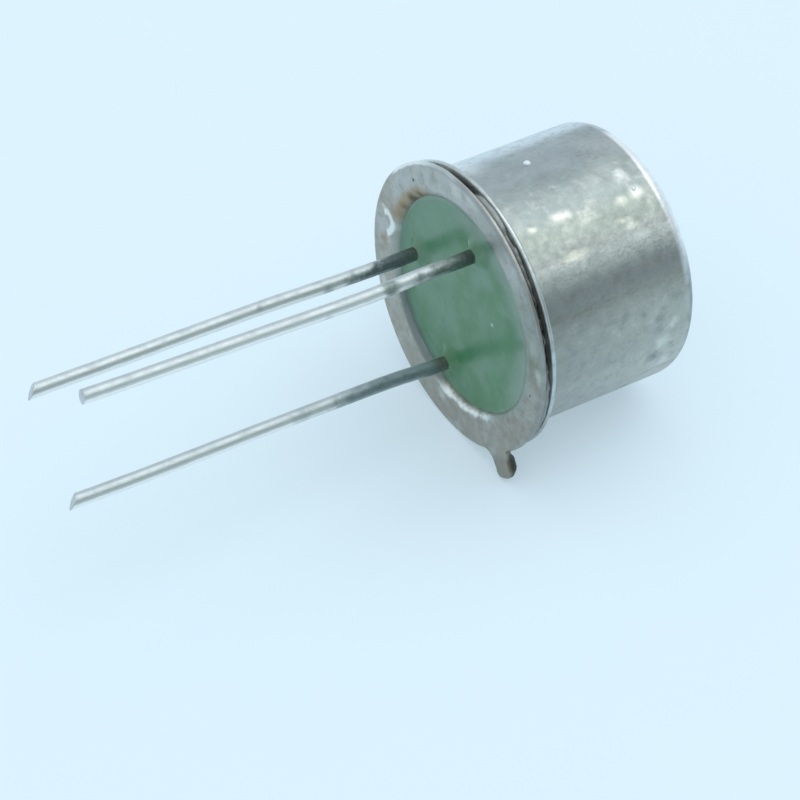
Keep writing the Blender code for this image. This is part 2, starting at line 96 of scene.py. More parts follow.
COLLAR_HEIGHT = 0.26
LEAD_RADIUS = 0.225
PIN_RADIUS = 2.54
POST_TOP = 2.7
POST_HEAD_RADIUS = 0.375
POST_HEAD_THICKNESS = 0.15
POST_HEAD_BEVEL = 0.02

# Each lead's angle from the tab, its length below the seating face, and its bends: at shares of that length,
# how far it strays toward BEND_ANGLE
BEND_ANGLE = -14.0
LEADS = {
    "cathode_lead": (
        45.0, 12.9, ((0.0, 0.07), (0.08, 0.02), (0.18, -0.04), (0.5, -0.1), (0.8, -0.13), (1.0, -0.19)),
    ),
    "gate_lead": (
        135.0, 13.1, ((0.0, 0.11), (0.1, 0.11), (0.22, 0.08), (0.42, 0.0), (0.75, -0.04), (1.0, -0.08)),
    ),
    "anode_lead": (
        225.0, 12.9, ((0.0, 0.11), (0.12, 0.1), (0.3, 0.13), (0.6, 0.03), (0.85, -0.05), (1.0, -0.11)),
    ),
}
TIP_SLANTS = {"cathode_lead": 38.0, "gate_lead": 36.0, "anode_lead": 10.0}
INSULATED_LEADS = ("cathode_lead", "gate_lead")


# Geometry


def ripple(point, size, seed=0.0):
    """Smooth noise from -1 to 1 at a point, with forms about size across."""
    return noise.noise(Vector(point) / size + Vector((seed, 1.7 * seed, 2.3 * seed)))


def arc(centre_r, centre_z, radius, start, end, steps):
    """Points of a section, radius and height each, along an arc between two angles."""
    points = []
    for i in range(steps + 1):
        angle = math.radians(start + (end - start) * i / steps)
        points.append((centre_r + radius * math.cos(angle), centre_z + radius * math.sin(angle)))
    return points


def filled(points, spacing, guard=0.02):
    """The same section with points along its straight stretches, two of them close to the ends."""
    dense = [points[0]]
    for (r0, z0), (r1, z1) in zip(points, points[1:]):
        length = math.hypot(r1 - r0, z1 - z0)
        if length > 3 * guard:
            inner = length - 2 * guard
            count = max(1, round(inner / spacing))
            shares = [(guard + inner * i / count) / length for i in range(count + 1)]
            dense += [(r0 + (r1 - r0) * s, z0 + (z1 - z0) * s) for s in shares]
        dense.append((r1, z1))
    return dense


def add_object(name, data):
    obj = bpy.data.objects.new(name, data)
    bpy.context.scene.collection.objects.link(obj)
    return obj


def add_piece(name, vertices, faces, material):
    """A smooth closed mesh from points in millimetres in the can's frame, laid in the part's pose."""
    mesh = bpy.data.meshes.new(name)
    mesh.from_pydata([POSE @ (Vector(v) * MM) for v in vertices], [], faces)
    mesh.validate()
    bm = bmesh.new()
    bm.from_mesh(mesh)
    bmesh.ops.recalc_face_normals(bm, faces=bm.faces)
    bm.to_mesh(mesh)
    bm.free()
    mesh.shade_smooth()
    mesh.materials.append(material)
    return add_object(name, mesh)


def strip(start, after, count):
    """The faces between two rings, from the index of each ring's first vertex."""
    faces = []
    for i in range(count):
        k = (i + 1) % count
        faces.append((start + i, after + i, after + k, start + k))
    return faces


def skin(rings):
    """Vertices and faces of a closed form: rings of equal count, with a cap of one point at each end."""
    count = len(rings[0])
    vertices = [point for ring in rings for point in ring]
    faces = []
    for j in range(len(rings) - 1):
        faces += strip(j * count, (j + 1) * count, count)
    for ring, start in ((rings[0], 0), (rings[-1], (len(rings) - 1) * count)):
        faces += [(start + i, start + (i + 1) % count, len(vertices)) for i in range(count)]
        vertices.append(sum((Vector(p) for p in ring), Vector()) / count)
    return vertices, faces


def section_normals(profile):
    """The outward direction at each point of a section that runs down its outer side."""
    normals = []
    for i in range(len(profile)):
        (r0, z0), (r1, z1) = profile[max(i - 1, 0)], profile[min(i + 1, len(profile) - 1)]
        length = math.hypot(r1 - r0, z1 - z0) or 1.0
        normals.append((-(z1 - z0) / length, (r1 - r0) / length))
    return normals


def turned_rings(profile, steps, depth):
    """Rings of a turned form, each point sunk by depth(place, index in the section) below the surface."""
    rings = []
    for index, ((r, z), (nr, nz)) in enumerate(zip(profile, section_normals(profile))):
        ring = []
        for i in range(steps):
            angle = math.tau * i / steps
            c, s = math.cos(angle), math.sin(angle)
            sunk = depth(Vector((r * c, r * s, z)), index)
            ring.append(Vector(((r - nr * sunk) * c, (r - nr * sunk) * s, z - nz * sunk)))
        rings.append(ring)
    return rings


def polar(radius, degrees, z=0.0):
    angle = math.radians(degrees)
    return Vector((radius * math.cos(angle), radius * math.sin(angle), z))


def wall(degrees, z):
    """A place on the can's wall."""
    return polar(WALL_RADIUS, degrees, z)


def dents(place, table):
    """How deep the dents of a table are at a place. Each row has a centre, a radius and a depth."""
    sunk = 0.0
    for centre, radius, depth in table:
        share = (place - centre).length / radius
        if share < 1:
            sunk += depth * (1 - share * share) ** 2
    return sunk


def rise(value, low, high):
    """Climbs smoothly from 0 to 1 while the value goes from low to high."""
    share = min(1.0, max(0.0, (value - low) / (high - low)))
    return share * share * (3 - 2 * share)


def off_angle(degrees, middle):
    """How many degrees two directions lie apart."""
    return abs((degrees - middle + 180) % 360 - 180)


def bell(degrees, middle, width, power=2):
    """1 in one direction and 0 far from it, with a flatter top for a higher power."""
    return math.exp(-(off_angle(degrees, middle) / width) ** power)


def boolean_bars(obj, operation, radius, depth, z):
    """Cuts a bar round each insulated lead from a piece, or joins it to the piece."""
    for name in INSULATED_LEADS:
        bpy.ops.mesh.primitive_cylinder_add(vertices=48, radius=radius * MM, depth=depth * MM)
        bar = bpy.context.object
        bar.matrix_world = POSE @ Matrix.Translation(polar(PIN_RADIUS, LEADS[name][0], z) * MM)
        boolean = obj.modifiers.new("Boolean", "BOOLEAN")
        boolean.operation = operation
        boolean.object = bar
        bpy.context.view_layer.update()
        graph = bpy.context.evaluated_depsgraph_get()
        mesh = bpy.data.meshes.new_from_object(obj.evaluated_get(graph))
        obj.modifiers.clear()
        obj.data = mesh
        bpy.data.objects.remove(bar, do_unlink=True)


# The can


# Dents: centre, radius and depth
CAN_DENTS = [
    (wall(-118, 2.6), 0.5, 0.014),
    (wall(-125, 3.6), 0.45, 0.012),
    (wall(-104, 2.3), 0.45, 0.012),
    (wall(-108, 4.5), 0.6, 0.014),
    (wall(-121, 5.0), 0.35, 0.01),
    (wall(-150, 4.9), 0.6, 0.02),
    (wall(-60, 4.7), 0.5, 0.014),
    (wall(-35, 3.6), 0.7, 0.015),
    (wall(60, 3.2), 0.9, 0.02),
    (wall(120, 4.6), 0.7, 0.018),
    (Vector((1.4, -0.9, CAN_HEIGHT)), 1.1, 0.02),
    (Vector((-1.9, 1.2, CAN_HEIGHT)), 0.8, 0.014),
]


def make_can(material):
    edge_r = CAN_FLANGE_RADIUS - CAN_FLANGE_EDGE
    fillet_z = CAN_FLANGE_TOP + CAN_FLANGE_FILLET
    corner_z = CAN_HEIGHT - CAN_TOP_CORNER
    bend = CAN_FLANGE_FILLET + CAN_WALL
    inner_r = CAN_RADIUS - CAN_WALL
    inner_corner = CAN_TOP_CORNER - CAN_WALL
    outside = filled(
        [(CENTRE_HOLE, CAN_HEIGHT)]
        + arc(CAN_RADIUS - CAN_TOP_CORNER, corner_z, CAN_TOP_CORNER, 90, 0, 14)
        + arc(CAN_RADIUS + CAN_FLANGE_FILLET, fillet_z, CAN_FLANGE_FILLET, 180, 270, 10)
        + arc(edge_r, CAN_FLANGE_TOP - CAN_FLANGE_EDGE, CAN_FLANGE_EDGE, 90, 0, 6)
        + arc(edge_r, CAN_BASE_Z + CAN_FLANGE_EDGE, CAN_FLANGE_EDGE, 0, -90, 6),
        0.09,
    )
    inside = filled(
        arc(inner_r + bend, CAN_BASE_Z + bend, bend, 270, 180, 6)
        + arc(inner_r - inner_corner, corner_z, inner_corner, 0, 90, 4)
        + [(CENTRE_HOLE, CAN_HEIGHT - CAN_WALL)],
        0.5,
    )

    def depth(place, index):
        """How far the surface lies under its section: waves, dents, a hollow top and a wavy flange."""
        if index >= len(outside):
            return 0.0
        radius = math.hypot(place.x, place.y)
        sunk = 0.006 * (1 + ripple(place, 2.4, 3)) + 0.002 * (1 + ripple(place, 0.7, 5))
        sunk += dents(place, CAN_DENTS)
        if place.z > CAN_HEIGHT - 0.02:
            sunk += 0.035 * max(0.0, 1 - (radius / 3.5) ** 2)
        if place.z < CAN_FLANGE_TOP + 0.05:
            sunk += 0.012 * (1 + ripple(place, 0.9, 8)) * min(1.0, max(0.0, radius - 4.3) / 0.2)
        return sunk

    rings = turned_rings(outside + inside, 320, depth)
    return add_piece("can_shell", *skin(rings), material)


# The header


def header_outline():
    """The flange's edge with the tab: each step's point, its outward direction and its angle."""
    half = TAB_WIDTH / 2
    root_y = half + TAB_ROOT_FILLET
    root_x = math.sqrt((HEADER_RADIUS + TAB_ROOT_FILLET) ** 2 - root_y**2)
    touching = math.atan2(root_y, root_x)
    end_x = HEADER_RADIUS + TAB_LENGTH - TAB_END_CORNER
    steps = []

    def bow(x, y, radius, start, end, count, inward=1):
        for i in range(count + 1):
            angle = math.radians(start + (end - start) * i / count)
            way = Vector((math.cos(angle), math.sin(angle), 0))
            steps.append((Vector((x, y, 0)) + way * radius, way * inward))

    bow(end_x, half - TAB_END_CORNER, TAB_END_CORNER, 0, 90, 8)
    corner = steps[-1][0]
    side_end = Vector((root_x, half, 0))
    for i in range(1, 9):
        steps.append((corner.lerp(side_end, i / 9), Vector((0, 1, 0))))
    bow(root_x, root_y, TAB_ROOT_FILLET, 270, 180 + math.degrees(touching), 12, -1)
    mirrored = [(Vector((p.x, -p.y, 0)), Vector((n.x, -n.y, 0))) for p, n in reversed(steps)]
    tab = [*mirrored, (Vector((end_x + TAB_END_CORNER, 0, 0)), Vector((1, 0, 0))), *steps]
    last = len(tab) - 1
    outline = [(p, n, touching * (2 * i / last - 1)) for i, (p, n) in enumerate(tab)]
    around = 290
    for i in range(1, around):
        angle = touching + (math.tau - 2 * touching) * i / around
        way = Vector((math.cos(angle), math.sin(angle), 0))
        outline.append((way * HEADER_RADIUS, way, angle))
    return outline


def mouth_shift(z):
    """Where the opening's middle lies: a little off the axis where it meets the flange."""
    return polar(MOUTH_SHIFT * max(0.0, 1 - z / MOUTH_DEPTH), MOUTH_SHIFT_ANGLE)


def mouth_radius(z):
    """The opening's radius at a height, through its rounded edge."""
    if z >= MOUTH_ROUND:
        return MOUTH_RADIUS
    return MOUTH_RADIUS + MOUTH_ROUND - math.sqrt(MOUTH_ROUND**2 - (MOUTH_ROUND - z) ** 2)


def rim_height(z, inset, degrees, x):
    """The flange thins out towards its rim away from the tab, and its front is bevelled at the top."""
    away = rise(off_angle(degrees, 0), 8, 14)
    back = HEADER_SHEET - (HEADER_SHEET - HEADER_RIM) * away * (1 - rise(inset, 0.0, HEADER_RIM_WIDTH))
    back += TAB_SWELL * rise(x, 4.7, 4.95) * (1 - rise(x, 5.2, 5.5))
    front = 0.11 * (1 - rise(off_angle(degrees, 187), 13, 21)) * max(0.0, 1 - inset / 0.3)
    return front + z / HEADER_SHEET * (back - front)


# Dents: centre, radius and depth
HEADER_DENTS = [
    (polar(3.75, 134, 0.05), 0.45, 0.05),
    (polar(4.3, 143, 0.0), 0.35, 0.02),
    (polar(4.1, 174.6, 0.0), 0.07, 0.03),
    (polar(3.7, 10, 0.0), 0.5, 0.02),
    (polar(4.4, -60, 0.0), 0.5, 0.012),
    (polar(4.2, 40, 0.0), 0.5, 0.02),
    (Vector((5.2, 0.1, 0.0)), 0.35, 0.02),
]


def make_header(material):
    edge_r = HEADER_RADIUS - HEADER_EDGE
    shoulder_z = HEADER_HEIGHT - HEADER_SHOULDER
    under = HEADER_HEIGHT - HEADER_SHEET
    corner_z = under - HEADER_INNER_CORNER
    fillet_r, fillet_z = EYELET_RADIUS + HEADER_FLANGE_FILLET, HEADER_SHEET + HEADER_FLANGE_FILLET
    hidden = filled(
        [(CENTRE_HOLE, HEADER_HEIGHT)]
        + arc(EYELET_RADIUS - HEADER_SHOULDER, shoulder_z, HEADER_SHOULDER, 90, 0, 6)
        + arc(fillet_r, fillet_z, HEADER_FLANGE_FILLET, 180, 270, 3),
        0.4,
    )
    shown = filled(
        [hidden[-1]]
        + arc(edge_r, HEADER_SHEET - HEADER_EDGE, HEADER_EDGE, 90, 0, 6)
        + arc(edge_r, HEADER_EDGE, HEADER_EDGE, 0, -90, 6)
        + arc(MOUTH_RADIUS + MOUTH_ROUND, MOUTH_ROUND, MOUTH_ROUND, 270, 180, 10)
        + [(MOUTH_RADIUS, MOUTH_DEPTH)],
        0.05,
    )[1:]
    inner = filled(
        [(MOUTH_RADIUS, MOUTH_DEPTH)]
        + arc(MOUTH_RADIUS - HEADER_INNER_CORNER, corner_z, HEADER_INNER_CORNER, 0, 90, 3)
        + [(CENTRE_HOLE, under)],
        0.5,
    )[1:]
    profile = hidden + shown + inner
    outline = header_outline()
    blend_from, blend_to = 0.15, 0.6
    inner_circle = HEADER_RADIUS - blend_to
    rings = []
    for index, ((r, z), (nr, nz)) in enumerate(zip(profile, section_normals(profile))):
        visible = len(hidden) <= index < len(hidden) + len(shown)
        ring = []
        for edge, way, angle in outline:
            direction = Vector((math.cos(angle), math.sin(angle), 0))
            inset = HEADER_RADIUS - r
            if inset <= blend_from:
                place, outward = edge - way * inset, way
            elif inset < blend_to:
                share = (inset - blend_from) / (blend_to - blend_from)
                place = (edge - way * blend_from).lerp(direction * inner_circle, share)
                outward = direction
            else:
                place, outward = direction * r, direction
            place = Vector((place.x, place.y, z))
            if visible and inset < HEADER_RIM_WIDTH:
                place.z = rim_height(z, inset, math.degrees(angle), place.x)
            if visible and r < MOUTH_SHIFT_REACH:
                place += mouth_shift(z) * min(1.0, (MOUTH_SHIFT_REACH - r) / MOUTH_SHIFT_FADE)
            if visible:
                sunk = 0.006 * (1 + ripple(place, 1.6, 11)) + 0.003 * (1 + ripple(place, 0.5, 13))
                sunk += dents(place, HEADER_DENTS)
                place = place - (outward * nr + Vector((0, 0, nz))) * sunk
            ring.append(place)
        rings.append(ring)
    header = add_piece("header_shell", *skin(rings), material)
    boolean_bars(header, "DIFFERENCE", HOLE_RADIUS, 2.0, HEADER_HEIGHT)
    return header


# Where the bead fills the groove: direction, half width, power of the bell, and how full it is there
WELD_FILLS = ((228, 11.0, 4, 1.0), (326, 28.0, 4, 0.95), (176, 17.0, 4, 0.9), (248, 13.0, 2, 0.5))


def make_weld(material):
    """The bead that half fills the groove between the two flanges, fuller in some places than in others."""
    steps, sides = 420, 10
    vertices = []
    faces = []
    for i in range(steps):
        degrees = 360 * i / steps
        way = polar(1, degrees)
        full = 0.5 + 0.5 * ripple(way * 4.6, 0.9, 21)
        fuller = max(share * bell(degrees, *fill) for *fill, share in WELD_FILLS)
        opened = bell(degrees, 205, 9.0)
        rough = ripple(way * 4.6, 0.4, 23) + 0.4 * ripple(way * 4.6, 0.15, 24)
        ragged = max(0.0, rough) * (1 - 0.85 * fuller)
        size = 0.05 + 0.01 * full + 0.07 * fuller + 0.03 * ragged
        radius = CAN_FLANGE_RADIUS - 0.38 + 0.05 * full + 0.22 * fuller - 0.07 * opened + 0.2 * ragged
        for j in range(sides):
            turn = math.tau * j / sides
            height = 0.345 - 0.05 * fuller + 0.006 * ripple(way * 4.6, 0.5, 25) + size * math.sin(turn)
            vertices.append(way * (radius + size * math.cos(turn)) + Vector((0, 0, height)))
        faces += strip(i * sides, (i + 1) % steps * sides, sides)
    return add_piece("weld_bead", vertices, faces, material)


# The glass


def glass_edge(degrees):
    """The height up to which the glass climbs the eyelet's wall."""
    near = 1 - rise(off_angle(degrees, 265), 25, 75)
    return GLASS_RECESS - GLASS_CLIMB - 0.07 * near + 0.02 * ripple(polar(3.4, degrees), 1.1, 35)


def glass_face(x, y, share, degrees):
    """The height of the glass's outer face, which climbs the eyelet's wall and the leads."""
    z = GLASS_RECESS
    climb = max(0.0, 1 - (1 - share) * GLASS_RADIUS / GLASS_CLIMB_WIDTH)
    z -= (GLASS_RECESS - glass_edge(degrees)) * climb**2
    for angle, _, bends in LEADS.values():
        pin = polar(PIN_RADIUS, angle) + polar(bends[0][1], BEND_ANGLE)
        away = math.hypot(x - pin.x, y - pin.y) - LEAD_RADIUS
        z -= COLLAR_HEIGHT * max(0.0, min(1.0, 1 - away / COLLAR_WIDTH)) ** 2
    inside = 1 - climb
    z += inside * (0.012 * ripple((x, y, 0), 1.6, 31) + 0.004 * ripple((x, y, 0), 0.5, 33))
    return z


def make_glass(material):
    steps = 240
    corner_r, corner_z = GLASS_RADIUS - HEADER_INNER_CORNER, GLASS_TOP - HEADER_INNER_CORNER
    corner = arc(corner_r, corner_z, HEADER_INNER_CORNER, 90, 0, 4)
    side = filled([(CENTRE_HOLE, GLASS_TOP)] + corner + [(GLASS_RADIUS, MOUTH_DEPTH)], 0.4)
    rings = [[polar(r, 360 * i / steps, z) for i in range(steps)] for r, z in side]
    climbing, across = 6, 72
    for k in range(1, climbing + 1):
        ring = []
        for i in range(steps):
            degrees = 360 * i / steps
            z = MOUTH_DEPTH + (glass_edge(degrees) - MOUTH_DEPTH) * k / climbing
            ring.append(polar(mouth_radius(z) + 0.01, degrees, z) + mouth_shift(z))
        rings.append(ring)
    # The first share lies close to the edge, so that the face's shading doesn't bend there
    shares = [0.998, *(1 - k / across for k in range(1, across))]
    for share in shares:
        ring = []
        for i, edge in enumerate(rings[len(side) + climbing - 1]):
            x, y = edge.x * share, edge.y * share
            ring.append(Vector((x, y, glass_face(x, y, share, 360 * i / steps))))
        rings.append(ring)
    glass = add_piece("glass_body", *skin(rings), material)
    boolean_bars(glass, "UNION", HOLE_RADIUS - 0.005, 0.6, HEADER_HEIGHT - 0.3)
    glass.data.shade_smooth()
    return glass


# The leads


def smooth_through(points, steps):
    """A smooth path through the points."""
    ends = [points[0], *points, points[-1]]
    path = []
    for before, start, end, after in zip(ends, ends[1:], ends[2:], ends[3:]):
        for i in range(steps):
            t = i / steps
            straight = 2 * start + (end - before) * t
            bend = (2 * before - 5 * start + 4 * end - after) * t**2
            twist = (3 * start - before - 3 * end + after) * t**3
            path.append((straight + bend + twist) / 2)
    return [*path, points[-1].copy()]


def make_lead(name, material):
    """A bent wire with a slanted cut at its tip. An insulated one has a flat head inside the can."""
    angle, length, bends = LEADS[name]
    insulated = name in INSULATED_LEADS
    pin = polar(PIN_RADIUS, angle)
    side = polar(1, BEND_ANGLE)
    top = POST_TOP if insulated else GLASS_TOP
    points = [pin + Vector((0, 0, top))]
    for share, sideways in bends:
        points.append(pin + side * sideways - Vector((0, 0, length * share)))
    path = smooth_through(points, 40)
    seed = angle / 9
    sides = 28
    rings = []
    if insulated:
        under = top - POST_HEAD_THICKNESS
        inner_r = POST_HEAD_RADIUS - POST_HEAD_BEVEL
        head = (
            (0.3, top), (inner_r, top), (POST_HEAD_RADIUS, top - POST_HEAD_BEVEL),
            (POST_HEAD_RADIUS, under + POST_HEAD_BEVEL), (inner_r, under), (LEAD_RADIUS + 0.02, under),
        )
        rings = [[pin + polar(r, 360 * j / sides, z) for j in range(sides)] for r, z in head]
        path = [p for p in path if p.z < under - 0.02]
    slope = math.tan(math.radians(TIP_SLANTS[name]))
    cad_slope = 0.466
    cut_reach = 0.32
    tip = path[-1]
    trimmed = 0.03 + LEAD_RADIUS * max(0.0, slope - cad_slope)
    path = [p for p in path if p.z > tip.z + cut_reach]
    for p in [*path, tip]:
        ring = []
        for j in range(sides):
            way = polar(1, 360 * j / sides)
            place = p + way * LEAD_RADIUS
            uneven = 1 + 0.02 * ripple(place, 0.9, seed) + 0.012 * ripple(place, 0.25, seed + 4)
            ring.append(p + way * (LEAD_RADIUS * uneven - 0.004))
        rings.append(ring)
    # The slanted cut: the tip's ring leans, and the rings before it lean less and less
    leaning = [point + Vector((0, 0, trimmed - slope * (point - tip).dot(side))) for point in rings.pop()]
    last = rings[-1]
    cut_rings = 8
    for k in range(1, cut_rings + 1):
        rings.append([start.lerp(end, k / cut_rings) for start, end in zip(last, leaning)])
    centre = tip + Vector((0, 0, trimmed))
    rings.append([point.lerp(centre, 0.12) - Vector((0, 0, 0.008)) for point in leaning])
    return add_piece(name + "_wire", *skin(rings), material)


# Pale flecks on the can's wall, one a flat fleck painted in for a bright highlight spot: name, direction,
# height on the wall, radius and thickness
WALL_FLECKS = (("wall_fleck", -154.2, 2.71, 0.115, 0.09), ("highlight_fleck", -122.1, 5.05, 0.08, 0.035))


def make_fleck(name, degrees, z, radius, height, material):
    centre = polar(CAN_RADIUS - 0.012, degrees, z)
    outward = polar(1, degrees)
    sideways = Vector((-outward.y, outward.x, 0))
    rings = []
    steps, bows = 24, 7
    for k in range(1, bows + 1):
        thick = math.cos(math.pi / 2 * k / bows)
        spread = math.sin(math.pi / 2 * k / bows)
        ring = []
        for i in range(steps):
            turn = math.tau * i / steps
            way = sideways * math.cos(turn) + Vector((0, 0, math.sin(turn)))
            place = centre + way * radius * spread
            wobble = 1 + 0.18 * ripple(place, radius, 41)
            ring.append(centre + way * radius * spread * wobble + outward * height * thick * wobble)
        rings.append(ring)
    rings.append([p - outward * 0.03 for p in rings[-1]])
    return add_piece(name, *skin(rings), material)


# Materials


def dimmed(colour, share):
    return tuple(share * part for part in colour)


class Nodes:
    """A node tree, with short ways to add nodes to it."""

    def __init__(self, tree):
        self.tree = tree
        tree.nodes.clear()

    def put(self, socket, value):
        """Links a socket to another node's output, or gives it a value."""
        if isinstance(value, bpy.types.NodeSocket):
            self.tree.links.new(value, socket)
        elif value is not None:
            if socket.type == "RGBA" and len(value) == 3:
                value = (*value, 1.0)
            socket.default_value = value

    def node(self, kind, *first, **named):
        """A new node with values for its first inputs and for those that are named."""
        node = self.tree.nodes.new("ShaderNode" + kind)
        for socket, value in zip(node.inputs, first):
            self.put(socket, value)
        for name, value in named.items():
            self.put(node.inputs[name.replace("_", " ")], value)
        return node

    def math(self, operation, a, b=None):
        node = self.node("Math", a, b)
        node.operation = operation
        return node.outputs[0]

    def vector(self, operation, a, b=None, scale=None):
        node = self.node("VectorMath", a, b)
        node.operation = operation
        if scale is not None:
            self.put(node.inputs["Scale"], scale)
        return node.outputs["Value" if operation in ("LENGTH", "DISTANCE", "DOT_PRODUCT") else "Vector"]

    def range(self, value, low, high, to_low=0.0, to_high=1.0):
        """Goes smoothly from to_low to to_high while the value goes from low to high."""
        node = self.node("MapRange", value, low, high, to_low, to_high)
        node.interpolation_type = "SMOOTHSTEP"
        return node.outputs[0]

    def mix(self, factor, a, b, blend="MIX"):
        """Two colours mixed. The node's inputs 6 and 7 and its output 2 are those for colours."""
        node = self.node("Mix", factor)
        node.data_type = "RGBA"
        node.blend_type = blend
        self.put(node.inputs[6], a)
        self.put(node.inputs[7], b)
        return node.outputs[2]

    def both(self, a, b):
        return self.math("MULTIPLY", a, b)

    def most(self, mask, *others):
        for other in others:
            mask = self.math("MAXIMUM", mask, other)
        return mask

    def several(self, draw, *rows):
        """The most of several masks that one method draws. Each row has its inputs and then a strength."""
        return self.most(*(self.both(draw(*row[:-1]), row[-1]) for row in rows))


class Graph(Nodes):
    """A material's nodes, with coordinates in millimetres in the can's frame, or else in the part's."""

    def __init__(self, name, in_pose=True):
        self.material = bpy.data.materials.new(name)
        self.material.use_nodes = True
        super().__init__(self.material.node_tree)
        self.output = self.node("OutputMaterial")
        pose = POSE if in_pose else Matrix()
        coordinates = self.node("TexCoord").outputs["Object"]
        mapping = self.node("Mapping", coordinates, pose.translation, pose.to_euler(), (MM, MM, MM))
        mapping.vector_type = "TEXTURE"
        self.place = mapping.outputs[0]
        self.x, self.y, self.z = self.node("SeparateXYZ", self.place).outputs
        self.colour = None

    def flat(self):
        """The place with its height left out."""
        return self.vector("MULTIPLY", self.place, (1, 1, 0))

    def away(self):
        """The distance from the can's axis."""
        return self.vector("LENGTH", self.flat())

    def noise(self, scale, detail=3.0, roughness=0.55, distortion=0.0, stretch=None):
        place = self.vector("MULTIPLY", self.place, stretch) if stretch else self.place
        look = {"Detail": detail, "Roughness": roughness, "Distortion": distortion}
        return self.node("TexNoise", place, Scale=scale, **look).outputs["Fac"]

    def cells(self, scale):
        return self.node("TexVoronoi", self.place, Scale=scale).outputs["Distance"]

    def shaken(self, value, noise, amount):
        """The value with some noise added, which makes an edge drawn by it ragged."""
        return self.math("ADD", value, self.both(self.math("SUBTRACT", noise, 0.5), amount))

    def spot(self, centre, radius, soft=0.5, ragged=0.0, scale=3.0):
        """1 inside a round spot, fading to 0 over the outer share soft of its radius, with a ragged edge."""
        away = self.vector("DISTANCE", self.place, centre)
        if ragged:
            away = self.shaken(away, self.noise(scale), ragged)
        return self.range(away, radius, radius * (1 - soft))

    def streak(self, centre, radius, length, ragged):
        """A spot that is drawn out along the can, more so with a smaller length factor."""
        offset = self.vector("SUBTRACT", self.place, centre)
        away = self.vector("LENGTH", self.vector("MULTIPLY", offset, (1, 1, length)))
        return self.range(self.shaken(away, self.noise(2.5), ragged), radius, 0.0)

    def sector(self, middle, half, soft):
        """1 where the direction from the can's axis is within half degrees of the middle one."""
        level = self.vector("NORMALIZE", self.flat())
        cosine = self.vector("DOT_PRODUCT", level, polar(1, middle))
        return self.range(cosine, math.cos(math.radians(half + soft)), math.cos(math.radians(half)))

    def ring(self, radius, half, soft, ragged=0.0, scale=3.0):
        """1 where the distance from the can's axis is within half of the radius."""
        off = self.math("ABSOLUTE", self.math("SUBTRACT", self.away(), radius))
        if ragged:
            off = self.shaken(off, self.noise(scale), ragged)
        return self.range(off, half + soft, half)

    def stripe(self, start, end, half, soft, ragged):
        """1 close to the line between two places of the face, in x and y."""
        line = Vector((*end, 0)) - Vector((*start, 0))
        offset = self.vector("MULTIPLY", self.vector("SUBTRACT", self.place, (*start, 0)), (1, 1, 0))
        share = self.vector("DOT_PRODUCT", offset, line / line.length_squared)
        share = self.math("MINIMUM", self.math("MAXIMUM", share, 0.0), 1.0)
        nearest = self.vector("SCALE", line, scale=share)
        away = self.shaken(self.vector("DISTANCE", offset, nearest), self.noise(3.0), ragged)
        return self.range(away, half + soft, half)

    def curl(self, radius, degrees, along, across):
        """1 on part of an oval line round a place on the face, as a hook."""
        offset = self.vector("SUBTRACT", self.place, polar(radius, degrees))
        u = self.vector("DOT_PRODUCT", offset, polar(1 / along, degrees + 90))
        v = self.vector("DOT_PRODUCT", offset, polar(1 / across, degrees))
        away = self.math("SQRT", self.math("ADD", self.both(u, u), self.both(v, v)))
        off = self.math("ABSOLUTE", self.math("SUBTRACT", self.shaken(away, self.noise(5.0), 0.4), 1.0))
        part = self.math("SUBTRACT", v, self.both(u, 0.7))
        return self.both(self.range(off, 0.55, 0.12), self.range(part, 0.35, -0.1))

    def paint(self, mask, tone, blend="MIX"):
        """Lays a tone over the colour so far where the mask is 1, or multiplies the colour by it."""
        self.colour = self.mix(mask, self.colour, tone, blend)

    def bumps(self, *layers):
        """The surface's direction with fine relief: the noise of each layer and its depth in millimetres."""
        normal = None
        for height, depth in layers:
            normal = self.node("Bump", Distance=depth * MM, Height=height, Normal=normal).outputs[0]
        return normal

    def finish(self, **inputs):
        shader = self.node("BsdfPrincipled", Base_Color=self.colour, **inputs)
        self.put(self.output.inputs["Surface"], shader.outputs[0])
        return self.material


# Painted light and shade on the can's wall by direction: sectors painted lighter where the wall should show
# more reflected light, and darker in and near the lamp's highlight band. Each row has the middle and half
# angle in degrees, the soft edge, the strength, the heights between which it fades in, the colour, and how it
# is mixed in
WALL_LIGHT_AND_SHADE = (
    (-160, 14, 12, 0.6, None, (0.43, 0.495, 0.53), "MIX"),
    (172, 12, 12, 0.85, None, (0.75, 0.82, 0.86), "MIX"),
    (-127, 12, 9, 1.0, None, (0.85, 0.87, 0.84), "MULTIPLY"),
    (-146, 7, 8, 1.0, (4.6, 3.9), (0.91, 0.92, 0.94), "MULTIPLY"),
    (-110, 7, 8, 1.0, None, (0.95, 0.96, 0.90), "MULTIPLY"),
    (-98, 3, 5, 1.0, None, (0.56, 0.62, 0.60), "MIX"),
    (-89, 3, 4, 0.6, None, (0.46, 0.50, 0.505), "MIX"),
    (180, 12, 12, 0.7, (2.0, 1.0), (0.80, 0.87, 0.91), "MIX"),
)


